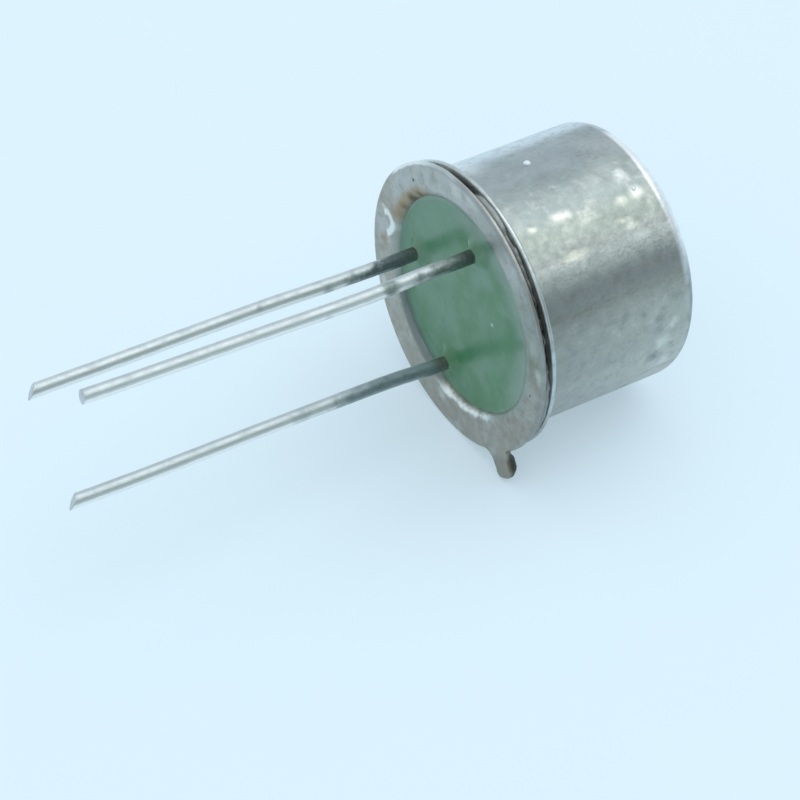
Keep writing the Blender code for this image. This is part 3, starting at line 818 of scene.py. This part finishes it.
def can_material():
    g = Graph("nickel_can")
    cloud = g.noise(0.6, 3, 0.55)
    mottle = g.noise(2.6, 5, 0.68)
    grain = g.noise(8.5, 3, 0.6)
    draw = g.noise(16.0, 3, 0.5, stretch=(1, 1, 0.06))
    away = g.away()
    on_wall = g.range(away, 3.4, 3.85)

    def side(middle, half, soft, strength):
        """A sector of the wall that leaves out the closed end's flat face."""
        return g.both(g.both(g.sector(middle, half, soft), on_wall), strength)

    g.colour = g.mix(g.range(cloud, 0.42, 0.66), (0.415, 0.455, 0.455), (0.35, 0.39, 0.40))
    # Painted light: on the side of the wall that faces forward and down, lighter tones stand in for the light
    # thrown back by the floor. They fade darker toward the flange
    toward_top = g.range(g.z, 0.8, 4.6)
    lower = g.mix(toward_top, (0.345, 0.355, 0.325), (0.445, 0.455, 0.41))
    brighter = g.mix(toward_top, (0.41, 0.425, 0.395), (0.51, 0.525, 0.48))
    g.paint(side(-45, 38, 10, 0.88), g.mix(g.sector(-30, 12, 14), lower, brighter))
    # Painted light and shade, sector by sector
    for middle, half, soft, strength, heights, tone, blend in WALL_LIGHT_AND_SHADE:
        mask = side(middle, half, soft, strength)
        if heights:
            mask = g.both(mask, g.range(g.z, *heights))
        g.paint(mask, tone, blend)
    g.paint(g.range(mottle, 0.46, 0.74, 0.0, 0.5), (0.27, 0.30, 0.305))
    g.paint(g.range(mottle, 0.3, 0.44, 0.22, 0.0), (0.62, 0.66, 0.65))
    g.paint(g.range(grain, 0.52, 0.8, 0.0, 0.4), (0.25, 0.275, 0.28))
    dark = g.several(
        g.spot,
        (wall(-160, 5.2), 0.75, 0.9, 0.5, 3, 0.35),
        (wall(-147, 4.4), 0.6, 0.9, 0.6, 3, 0.6),
        (wall(-143, 2.6), 0.5, 0.9, 0.6, 3, 0.5),
        (wall(-89, 4.2), 0.4, 0.9, 0.6, 3, 0.6),
        (wall(-65, 4.6), 0.22, 0.8, 0.3, 6, 1.0),
        (wall(-70, 4.05), 0.12, 0.8, 0.2, 6, 1.0),
        (wall(-44, 4.5), 0.35, 0.9, 0.5, 4, 1.0),
        (wall(-24, 4.0), 0.4, 0.9, 0.5, 4, 1.0),
        (wall(-95, 5.0), 0.5, 0.9, 0.6, 3, 0.5),
        (wall(75, 2.5), 0.7, 0.9, 0.7, 3, 1.0),
        (wall(150, 4.0), 0.8, 0.9, 0.7, 3, 1.0),
    )
    g.paint(g.both(dark, g.range(grain, 0.3, 0.65, 0.2, 0.75)), (0.24, 0.265, 0.275))
    pale = g.several(
        g.spot,
        (wall(-52, 4.8), 0.4, 0.9, 0.6, 4, 0.55),
        (wall(-60, 5.1), 0.3, 0.9, 0.5, 4, 0.55),
        (wall(-38, 5.0), 0.4, 0.9, 0.6, 4, 0.55),
        (wall(-130, 4.9), 0.35, 0.9, 0.5, 4, 0.55),
    )
    g.paint(pale, (0.70, 0.74, 0.71))
    # Painted highlights: pale yellowish streaks and haze where the wall's highlight breaks into bright
    # blotches. The same places are made a little glossier below
    highlight_streaks = g.several(
        g.streak,
        (wall(-121.8, 2.35), 0.29, 0.5, 0.25, 0.8),
        (wall(-123.5, 3.5), 0.22, 0.5, 0.2, 0.3),
        (wall(-104.2, 2.2), 0.26, 0.3, 0.2, 0.95),
        (wall(-107.4, 4.45), 0.2, 0.5, 0.3, 0.5),
        (wall(-111.0, 4.2), 0.16, 0.5, 0.3, 0.45),
        (wall(-121.0, 1.3), 0.16, 0.6, 0.2, 0.5),
        (wall(-120.5, 5.05), 0.34, 0.8, 0.2, 0.75),
        (wall(-119.5, 4.45), 0.24, 0.7, 0.2, 0.5),
    )
    highlight_haze = g.both(side(-115, 10, 14, 1.0), g.range(g.noise(1.25, 3, 0.55), 0.54, 0.78, 0.0, 0.4))
    painted_highlight = g.most(highlight_streaks, highlight_haze)
    g.paint(painted_highlight, (0.76, 0.78, 0.69))
    # Painted highlight along the top corner in the directions that face the lamp, and painted shade on the
    # corner's other side
    corner = g.both(g.range(g.z, 5.54, 5.68), g.range(away, 3.55, 3.8))
    corner_highlight = g.both(corner, g.range(mottle, 0.7, 0.45, 0.72, 1.0))
    lit = g.several(g.sector, (-136, 15, 10, 1.0), (-108, 10, 10, 0.88), (-90, 8, 12, 0.58))
    g.paint(g.both(corner_highlight, g.most(lit, 0.3)), (0.93, 0.96, 0.98))
    shaded = g.both(corner, g.sector(-46, 32, 14))
    g.paint(shaded, (0.74, 0.76, 0.76), "MULTIPLY")
    g.paint(g.both(shaded, g.range(g.z, 5.68, 5.84)), (0.74, 0.76, 0.77), "MULTIPLY")
    # Painted highlight along the rounded edge of the can's flange
    flange_edge_highlight = g.both(g.range(away, 4.16, 4.3), g.range(mottle, 0.68, 0.42, 0.5, 0.95))
    g.paint(g.both(flange_edge_highlight, g.sector(-110, 60, 16)), (0.56, 0.61, 0.615))
    specks = g.range(g.cells(3.2), 0.07, 0.03)
    specks = g.both(specks, g.range(g.noise(0.9, 2), 0.55, 0.62))
    g.paint(g.both(specks, 0.7), (0.16, 0.17, 0.17))
    roughness = g.math("ADD", g.range(mottle, 0.3, 0.7, 0.32, 0.46), g.both(dark, 0.08))
    roughness = g.math("SUBTRACT", roughness, g.both(painted_highlight, 0.1))
    pitted = g.math("ADD", grain, g.both(specks, -0.7))
    normal = g.bumps((g.noise(1.3, 3, 0.5), 0.018), (mottle, 0.009), (draw, 0.001), (pitted, 0.003))
    return g.finish(Metallic=1.0, Roughness=roughness, Normal=normal)


def header_material():
    g = Graph("oxidised_header")
    cloud = g.noise(0.7, 4, 0.6)
    mottle = g.noise(2.8, 5, 0.68)
    grain = g.noise(9.0, 3, 0.6)
    tone = g.math("ADD", cloud, g.range(g.x, -3.0, 3.0, -0.06, 0.08))
    tone = g.math("ADD", tone, g.range(g.y, -3.0, 3.0, -0.08, 0.06))
    g.colour = g.mix(g.range(tone, 0.38, 0.64), (0.465, 0.475, 0.455), (0.395, 0.375, 0.33))
    g.paint(g.range(mottle, 0.46, 0.76, 0.0, 0.42), (0.26, 0.255, 0.235))
    g.paint(g.range(mottle, 0.28, 0.42, 0.25, 0.0), (0.60, 0.60, 0.57))
    g.paint(g.range(grain, 0.52, 0.8, 0.0, 0.35), (0.24, 0.235, 0.21))
    g.paint(g.sector(-80, 14, 14), (0.80, 0.84, 0.80), "MULTIPLY")
    g.paint(g.sector(-40, 18, 16), (0.90, 0.89, 0.87), "MULTIPLY")
    film = g.most(
        g.both(g.ring(3.45, 0.25, 0.3, 0.25, 2.0), g.sector(-85, 45, 20)),
        g.both(g.ring(3.46, 0.04, 0.14, 0.08, 3.0), 0.75),
    )
    g.paint(g.both(film, 0.75), (0.32, 0.40, 0.35))
    pale = g.several(
        g.spot,
        (Vector((2.9, 2.5, 0)), 0.3, 0.8, 0.4, 5, 0.6),
        (polar(4.25, 209), 0.42, 0.9, 0.5, 3, 0.6),
        (polar(4.25, 100), 0.3, 0.9, 0.5, 4, 0.6),
        (polar(4.2, -75), 0.35, 0.9, 0.5, 4, 0.24),
        (polar(4.45, -63), 0.4, 0.9, 0.4, 3, 0.6),
        (polar(4.45, -141), 0.4, 0.9, 0.4, 3, 0.6),
    )
    g.paint(pale, (0.66, 0.66, 0.62))
    # Pale marks on the mouth's edge and the rim, partly bare metal and partly painted highlights: a line on
    # the lower lip, the hook of a dent's highlight with its tail, and a line along the rim's edge. They are
    # also made glossier below
    bare_metal_and_highlights = g.most(
        g.both(g.ring(3.54, 0.0, 0.13, 0.3, 3.0), g.sector(22, 14, 14)),
        g.both(g.curl(4.0, 132.8, 0.4, 0.28), 0.85),
        g.both(g.both(g.sector(139.2, 0.1, 1.4), g.ring(4.1, 0.2, 0.16)), 0.42),
        g.both(g.ring(4.64, 0.06, 0.08, 0.06, 4.0), g.sector(184, 20, 8)),
    )
    g.paint(g.both(bare_metal_and_highlights, 0.9), (0.88, 0.90, 0.88))
    # Painted shade along the flange's outer edge, beside the groove
    rim = g.both(g.ring(4.64, 0.1, 0.1, 0.1, 3.0), g.sector(-100, 62, 20))
    g.paint(g.both(rim, 0.6), (0.30, 0.32, 0.315))
    wall_shade = g.both(g.ring(3.44, 0.04, 0.14, 0.06, 3.0), g.sector(74, 24, 14))
    g.paint(g.both(wall_shade, 0.8), (0.16, 0.20, 0.205))
    g.paint(g.both(g.range(g.x, 4.6, 5.0), 0.75), (0.29, 0.275, 0.235))
    # Painted shade on the tab's side face and along its end
    tab_side_shade = g.both(g.range(g.x, 4.6, 4.8), g.both(g.range(g.y, -0.28, -0.34), g.range(g.z, 0.08, 0.24)))
    g.paint(g.both(tab_side_shade, 0.92), (0.085, 0.095, 0.08))
    tab_end_shade = g.both(g.range(g.x, 5.36, 5.5), g.range(g.z, 0.04, 0.18))
    g.paint(g.both(tab_end_shade, 0.8), (0.11, 0.11, 0.095))
    tinge = g.most(
        g.both(g.ring(3.66, 0.04, 0.32, 0.2, 2.0), g.sector(161, 12, 14)),
        g.both(g.spot(polar(3.98, 123), 0.34, 0.95, 0.3, 3), 0.7),
    )
    g.paint(g.both(tinge, g.range(mottle, 0.3, 0.6, 0.95, 0.65)), (0.35, 0.255, 0.135))
    rust = g.several(
        g.spot,
        (polar(3.57, 165, 0.14), 0.36, 0.9, 0.2, 3, 1.0),
        (polar(3.62, 174, 0.12), 0.24, 0.9, 0.2, 3, 0.75),
        (polar(3.62, 153, 0.12), 0.22, 0.9, 0.2, 3, 0.6),
    )
    rust = g.both(rust, g.range(grain, 0.25, 0.6, 0.8, 1.0))
    g.paint(rust, (0.12, 0.098, 0.056))
    pit = g.several(g.spot, (polar(4.1, 174.6), 0.08, 0.6, 0.85), (polar(4.05, -50), 0.06, 0.6, 0.85))
    g.paint(pit, (0.07, 0.07, 0.07))
    metallic = g.math("SUBTRACT", 1.0, g.both(rust, 0.75))
    roughness = g.math("ADD", g.range(mottle, 0.3, 0.7, 0.34, 0.52), g.both(rust, 0.2))
    roughness = g.math("SUBTRACT", roughness, g.both(bare_metal_and_highlights, 0.1))
    normal = g.bumps((g.noise(1.8, 3, 0.5), 0.018), (mottle, 0.01), (grain, 0.003))
    return g.finish(Metallic=metallic, Roughness=roughness, Normal=normal)


def glass_material():
    g = Graph("green_seal_glass")
    cloud = g.noise(0.8, 4, 0.6, 0.4)
    streak = g.noise(2.2, 5, 0.6, 0.6)
    fine = g.noise(8.0, 3, 0.6)
    tone = g.math("ADD", cloud, g.range(g.y, -3.0, 3.0, -0.04, 0.07))
    tone = g.math("ADD", tone, g.range(g.x, -3.2, 3.2, 0.1, -0.1))
    g.colour = g.mix(g.range(tone, 0.34, 0.66), (0.076, 0.213, 0.102), (0.13, 0.265, 0.175))
    film = g.most(
        g.both(g.ring(3.5, 0.3, 0.7, 0.25, 2.0), g.sector(-90, 52, 26)),
        g.both(g.ring(3.56, 0.06, 0.16, 0.1, 3.0), 0.75),
    )
    g.paint(g.both(film, 0.72), (0.235, 0.325, 0.28))
    # Pale clouds in the glass. One of them lightens the cathode lead's shadow, a painted light, and the small
    # one near the cathode lead is a painted highlight on the glass collar round its root
    haze_and_highlights = g.several(
        g.spot,
        (polar(2.0, 242, 0.3), 0.8, 1.0, 0.3, 2, 0.5),
        (polar(2.0, 292, 0.3), 0.7, 1.0, 0.3, 2, 0.3),
        (polar(2.2, 195, 0.3), 0.6, 1.0, 0.3, 2, 0.3),
        (polar(2.38, 53.6, 0.2), 0.22, 1.0, 0.1, 4, 0.7),
    )
    g.paint(haze_and_highlights, (0.21, 0.34, 0.28))
    g.paint(g.range(streak, 0.5, 0.8, 0.0, 0.2), (0.05, 0.16, 0.09))
    # Painted reflections of the three leads in the glass: dark green bands that run from near their roots
    # across the face
    lead_reflections = g.several(
        g.stripe,
        ((1.75, 1.3), (1.1, -2.9), 0.05, 0.24, 0.16, 0.6),
        ((-1.85, 1.3), (-2.35, -1.2), 0.05, 0.24, 0.2, 0.4),
        ((-1.85, -1.9), (-1.95, -2.7), 0.05, 0.24, 0.2, 0.5),
    )
    g.paint(lead_reflections, (0.055, 0.185, 0.09))
    shaded = g.both(g.ring(3.5, 0.1, 0.26, 0.1, 3.0), g.sector(74, 24, 14))
    g.paint(g.both(shaded, 0.6), (0.075, 0.14, 0.13))
    g.paint(g.range(fine, 0.5, 0.8, 0.0, 0.12), (0.16, 0.32, 0.24))
    bubbles = g.both(g.range(g.cells(2.6), 0.05, 0.02), g.range(g.noise(1.3, 2), 0.5, 0.56))
    chips = [g.spot((-2.02, -1.5, 0.27), 0.11, 0.7), g.spot((0.56, -1.45, 0.3), 0.09, 0.7)]
    marks = g.most(*chips, bubbles)
    g.paint(g.both(marks, 0.7), (0.45, 0.65, 0.56))
    roughness = g.range(fine, 0.3, 0.7, 0.28, 0.38)
    normal = g.bumps((g.noise(1.2, 3, 0.5), 0.02), (g.math("ADD", fine, marks), 0.003))
    return g.finish(
        Roughness=roughness, IOR=1.48, Normal=normal,
        Subsurface_Weight=0.4, Subsurface_Radius=(0.4, 1.0, 0.7), Subsurface_Scale=0.4 * MM,
    )


# The leads' finishes: the heights between which the oxide fades out, its colours on the upper side, on the
# lower side and at the root, where upper and lower differ as painted light and shade, the colour of the
# painted shade along the side, and how dark the painted shade on the upper rim is. Each stain is a direction
# from the lead's axis, a shift along x, a height, a radius and a strength.
LEAD_UNDERSIDE = (-0.062, -0.740, -0.669)
TOWARD_FRONT = polar(0.21, -105)
LOW_EDGE = polar(0.2, -40)
BRIGHT_TIN = (0.56, 0.63, 0.65)
LEAD_LOOKS = {
    "cathode_lead": {
        "oxide_heights": (-2.6, -4.8),
        "oxide": ((0.26, 0.355, 0.385), (0.155, 0.22, 0.23), (0.11, 0.135, 0.11)),
        "side_shade": (0.55, 0.61, 0.60),
        "rim": 0.3,
        "stains": ((LOW_EDGE, -0.05, -3.4, 0.4, 0.5), (LOW_EDGE, -0.09, -5.1, 0.6, 0.35)),
    },
    "gate_lead": {
        "oxide_heights": (-1.3, -2.2),
        "oxide": ((0.13, 0.175, 0.185), (0.085, 0.118, 0.125), (0.08, 0.115, 0.10)),
        "side_shade": (0.50, 0.545, 0.53),
        "rim": 0.0,
        "stains": (
            (LOW_EDGE, 0.1, -2.3, 0.42, 0.85),
            (LOW_EDGE, 0.06, -3.1, 0.3, 0.55),
            (TOWARD_FRONT, 0.0, -5.5, 0.15, 0.4),
        ),
    },
    "anode_lead": {
        "oxide_heights": (-0.8, -2.2),
        "oxide": ((0.16, 0.22, 0.19), (0.085, 0.135, 0.11), (0.065, 0.092, 0.078)),
        "side_shade": (0.58, 0.645, 0.635),
        "rim": 0.2,
        "stains": (
            (LOW_EDGE, 0.1, -2.85, 0.36, 0.95),
            (TOWARD_FRONT, 0.1, -2.85, 0.42, 0.85),
            (LOW_EDGE, 0.1, -0.9, 0.3, 0.9),
            (LOW_EDGE, 0.12, -5.0, 0.2, 0.3),
        ),
    },
}


def lead_material(name):
    """Tinned wire, oxidised near the glass, with painted shade along its side and upper rim and a painted
    lighter underside.
    """
    look = LEAD_LOOKS[name]
    g = Graph(name.replace("_lead", "_wire_metal"))
    mottle = g.noise(2.6, 4, 0.62)
    blotch = g.noise(1.3, 4, 0.66)
    fine = g.noise(9.0, 3, 0.6)
    draw = g.noise(30.0, 2, 0.5, stretch=(1, 1, 0.05))
    facing = g.node("TexCoord").outputs["Normal"]
    low = g.shaken(g.vector("DOT_PRODUCT", facing, LEAD_UNDERSIDE), mottle, 0.3)
    tinned = g.mix(g.range(mottle, 0.4, 0.7), BRIGHT_TIN, dimmed(BRIGHT_TIN, 0.86))
    # By the way the surface faces: painted shade on the upper rim, a painted lighter underside that stands
    # for the floor's reflected light, and a painted darker stripe along the side
    tinned = g.mix(g.both(g.range(low, -0.45, -0.75), look["rim"]), tinned, (0.36, 0.42, 0.44))
    tinned = g.mix(g.range(low, 0.4, 0.7), tinned, (0.93, 0.95, 0.94))
    side_shade = g.both(g.range(low, -0.22, 0.06), g.range(low, 0.7, 0.4))
    tinned = g.mix(side_shade, tinned, look["side_shade"])
    start, end = look["oxide_heights"]
    along = g.math("ADD", g.shaken(g.z, blotch, 3.0), g.both(low, 0.5))
    pin = polar(PIN_RADIUS, LEADS[name][0])
    stains = []
    for side, shift, height, size, strength in look["stains"]:
        stains.append((pin + side + Vector((shift, 0, height)), size, 0.9, size, 4, strength))
    dark = g.most(
        g.both(g.range(along, end, start), g.range(fine, 0.2, 0.6, 0.88, 1.0)),
        g.several(g.spot, *stains),
    )
    upper, lower, root = look["oxide"]
    # The oxide is painted lighter on the upper side and darker on the lower side, as lit and shaded copies
    oxide = g.mix(g.range(low, -0.5, 0.2), upper, lower)
    oxide = g.mix(g.range(mottle, 0.45, 0.75, 0.0, 0.35), oxide, dimmed(lower, 0.5))
    # Painted light along both edges of the oxidised part, away from the root
    lit_edges = g.most(g.both(g.range(low, 0.6, 0.9), 0.8), g.both(g.range(low, -0.66, -0.9), 0.7))
    oxide = g.mix(g.both(lit_edges, g.range(g.z, -0.6, -1.1)), oxide, (0.33, 0.39, 0.405))
    oxide = g.mix(g.range(g.z, -0.7, -0.1), oxide, root)
    g.colour = g.mix(dark, tinned, oxide)
    roughness = g.math("ADD", g.range(mottle, 0.3, 0.7, 0.34, 0.46), g.both(dark, 0.1))
    metallic = g.math("SUBTRACT", 0.55, g.both(dark, 0.2))
    normal = g.bumps((mottle, 0.008), (draw, 0.001), (fine, 0.003))
    return g.finish(Metallic=metallic, Roughness=roughness, Normal=normal)


def weld_material():
    g = Graph("scorched_weld")
    cloud = g.noise(1.6, 4, 0.65)
    grain = g.noise(9.0, 3, 0.6)
    g.colour = g.mix(g.range(cloud, 0.4, 0.64), (0.16, 0.165, 0.155), (0.09, 0.085, 0.07))
    # Painted light: the bead is lighter where it fills the groove and rises out of its shade
    fills = ((228, 10, 6, 0.9), (176, 16, 6, 0.85), (248, 8, 8, 0.45), (328, 26, 12, 0.8))
    g.paint(g.several(g.sector, *fills), (0.33, 0.355, 0.35))
    roughness = g.range(grain, 0.3, 0.7, 0.42, 0.6)
    return g.finish(Metallic=0.8, Roughness=roughness, Normal=g.bumps((cloud, 0.02), (grain, 0.005)))


def fleck_material():
    g = Graph("pale_fleck")
    grain = g.noise(9.0, 3, 0.6)
    # Whitish colour. On the highlight fleck it is a painted highlight
    g.colour = g.mix(g.range(grain, 0.35, 0.7), (0.80, 0.88, 0.93), (0.66, 0.74, 0.80))
    return g.finish(Metallic=0.1, Roughness=0.45, Normal=g.bumps((grain, 0.004)))


def plain_metal(name, colour, darker, roughness, scale, grain):
    """A metal for the sealed-in pieces: cloudy colour, uneven gloss and a fine grain."""
    g = Graph(name)
    cloud = g.noise(scale, 4, 0.6)
    fine = g.noise(scale * 8, 3, 0.6)
    g.colour = g.mix(g.range(cloud, 0.35, 0.7), colour, darker)
    rough = g.range(fine, 0.3, 0.7, roughness - 0.06, roughness + 0.08)
    return g.finish(Metallic=1.0, Roughness=rough, Normal=g.bumps((cloud, grain * 4), (fine, grain)))


def silicon_material():
    g = Graph("silicon_chip")
    cloud = g.noise(1.5, 3, 0.5)
    g.colour = g.mix(g.range(cloud, 0.35, 0.7), (0.075, 0.075, 0.095), (0.11, 0.105, 0.13))
    fine = g.noise(20.0, 3, 0.6)
    roughness = g.range(fine, 0.3, 0.7, 0.12, 0.22)
    return g.finish(Metallic=0.3, Roughness=roughness, Normal=g.bumps((fine, 0.0005)))


def dress_inner_pieces():
    """The sealed-in pieces keep their CAD meshes and get their metals."""
    solder = plain_metal("soft_solder", (0.58, 0.59, 0.61), (0.42, 0.43, 0.45), 0.4, 2.5, 0.004)
    molybdenum = plain_metal("ground_molybdenum", (0.45, 0.46, 0.48), (0.36, 0.37, 0.39), 0.36, 3.0, 0.002)
    aluminium = plain_metal("bright_aluminium", (0.82, 0.82, 0.83), (0.7, 0.7, 0.72), 0.26, 4.0, 0.001)
    inner = {
        "plate_solder": solder, "die_solder": solder, "base_plate": molybdenum,
        "silicon_die": silicon_material(), "cathode_pad": aluminium, "gate_pad": aluminium,
        "cathode_wire": aluminium, "gate_wire": aluminium,
    }
    for name, material in inner.items():
        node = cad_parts[name]
        node.data.materials.clear()
        node.data.materials.append(material)


# The stage


BACKGROUND = (0.72, 0.885, 0.985)
FLOOR_COLOUR = (0.735, 0.88, 0.975)
FLOOR_GLOW = 0.45  # the share of the floor's light that doesn't take the shadow
FLOOR_HALF = 1.5  # metres

# Each lamp's name, the direction toward it, its distance and size in metres, its radiance and its colour
LAMPS = (
    ("soft_box", (0.42, -0.13, 0.90), 0.45, 0.60, 1.02, (0.95, 0.975, 1.0)),
    ("bright_middle", (0.42, -0.18, 0.88), 0.44, 0.14, 0.7, (1.0, 0.98, 0.9)),
)

# The camera that was fitted to the photograph's outlines
CAMERA_LENS = 135
CAMERA_SENSOR = 36
CAMERA_PLACE = (-0.0314731, -0.0543485, 0.0684928)
CAMERA_TURN = (
    (0.84301728, 0.40289637, -0.35636550),
    (-0.53738129, 0.60214949, -0.59045517),
    (-0.02330700, 0.68926811, 0.72413135),
)


def floor_material():
    """Pale paper that fades into the plain background far from the part."""
    g = Graph("pale_floor", in_pose=False)
    far = g.range(g.vector("LENGTH", g.place), 60.0, 140.0, FLOOR_GLOW, 1.0)
    tone = g.mix(g.range(g.noise(0.35, 3, 0.5), 0.3, 0.7), FLOOR_COLOUR, dimmed(FLOOR_COLOUR, 0.995))
    paper = g.node("BsdfPrincipled", Base_Color=tone, Roughness=0.9, Specular_IOR_Level=0.0)
    glow = g.node("Emission", Color=BACKGROUND, Strength=1.0)
    mixed = g.node("MixShader", far, paper.outputs[0], glow.outputs[0])
    g.put(g.output.inputs["Surface"], mixed.outputs[0])
    return g.material


def make_floor():
    mesh = bpy.data.meshes.new("floor")
    bm = bmesh.new()
    bmesh.ops.create_grid(bm, x_segments=24, y_segments=24, size=FLOOR_HALF)
    bm.to_mesh(mesh)
    bm.free()
    mesh.materials.append(floor_material())
    add_object("floor", mesh)


def make_world():
    """A pale sky with a darker patch low on one side. The camera sees the plain background instead."""
    world = bpy.data.worlds.new("studio")
    bpy.context.scene.world = world
    world.use_nodes = True
    n = Nodes(world.node_tree)
    seen = n.node("TexCoord").outputs["Generated"]

    def toward(direction, low, high):
        """1 where the world is seen in this direction, and 0 far from it."""
        return n.range(n.vector("DOT_PRODUCT", seen, Vector(direction).normalized()), low, high)

    sky = n.mix(toward((0.0, 0.3, 1.0), -0.2, 0.9), (0.65, 0.74, 0.80), (0.82, 0.87, 0.895))
    sky = n.mix(toward((0.5, -0.85, 0.3), 0.55, 0.95), sky, (0.24, 0.28, 0.28))
    camera_ray = n.node("LightPath").outputs["Is Camera Ray"]
    background = n.node("Background", Color=n.mix(camera_ray, sky, BACKGROUND))
    n.node("OutputWorld", Surface=background.outputs[0])


def add_lamp(name, direction, distance, size, radiance, colour):
    """A round soft lamp that faces the part. Its radiance is what a mirror would show of it."""
    lamp = bpy.data.lights.new(name, "AREA")
    lamp.shape = "DISK"
    lamp.size = size
    lamp.color = colour
    lamp.energy = radiance * math.pi * math.pi * (size / 2) ** 2
    obj = add_object(name, lamp)
    way = Vector(direction).normalized()
    obj.location = way * distance
    obj.rotation_euler = way.to_track_quat("Z", "Y").to_euler()


def make_camera():
    data = bpy.data.cameras.new("camera")
    data.lens = CAMERA_LENS
    data.sensor_width = CAMERA_SENSOR
    data.clip_start = 0.001
    data.clip_end = 20
    camera = add_object("camera", data)
    camera.matrix_world = Matrix.Translation(CAMERA_PLACE) @ Matrix(CAMERA_TURN).to_4x4()
    bpy.context.scene.camera = camera


def attach(piece, node=None):
    """Makes a piece ride the part's one body and in the place of a CAD node, if any."""
    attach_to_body(piece, "root")
    if node:
        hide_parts(node)


def main():
    attach(make_can(can_material()), "can")
    attach(make_header(header_material()), "header")
    attach(make_weld(weld_material()))
    attach(make_glass(glass_material()), "glass_seal")
    for name in LEADS:
        attach(make_lead(name, lead_material(name)), name)
    fleck = fleck_material()
    for name, degrees, z, radius, height in WALL_FLECKS:
        attach(make_fleck(name, degrees, z, radius, height, fleck))
    dress_inner_pieces()
    make_floor()
    make_world()
    for lamp in LAMPS:
        add_lamp(*lamp)
    make_camera()
    bpy.context.scene.view_settings.view_transform = "Standard"


main()
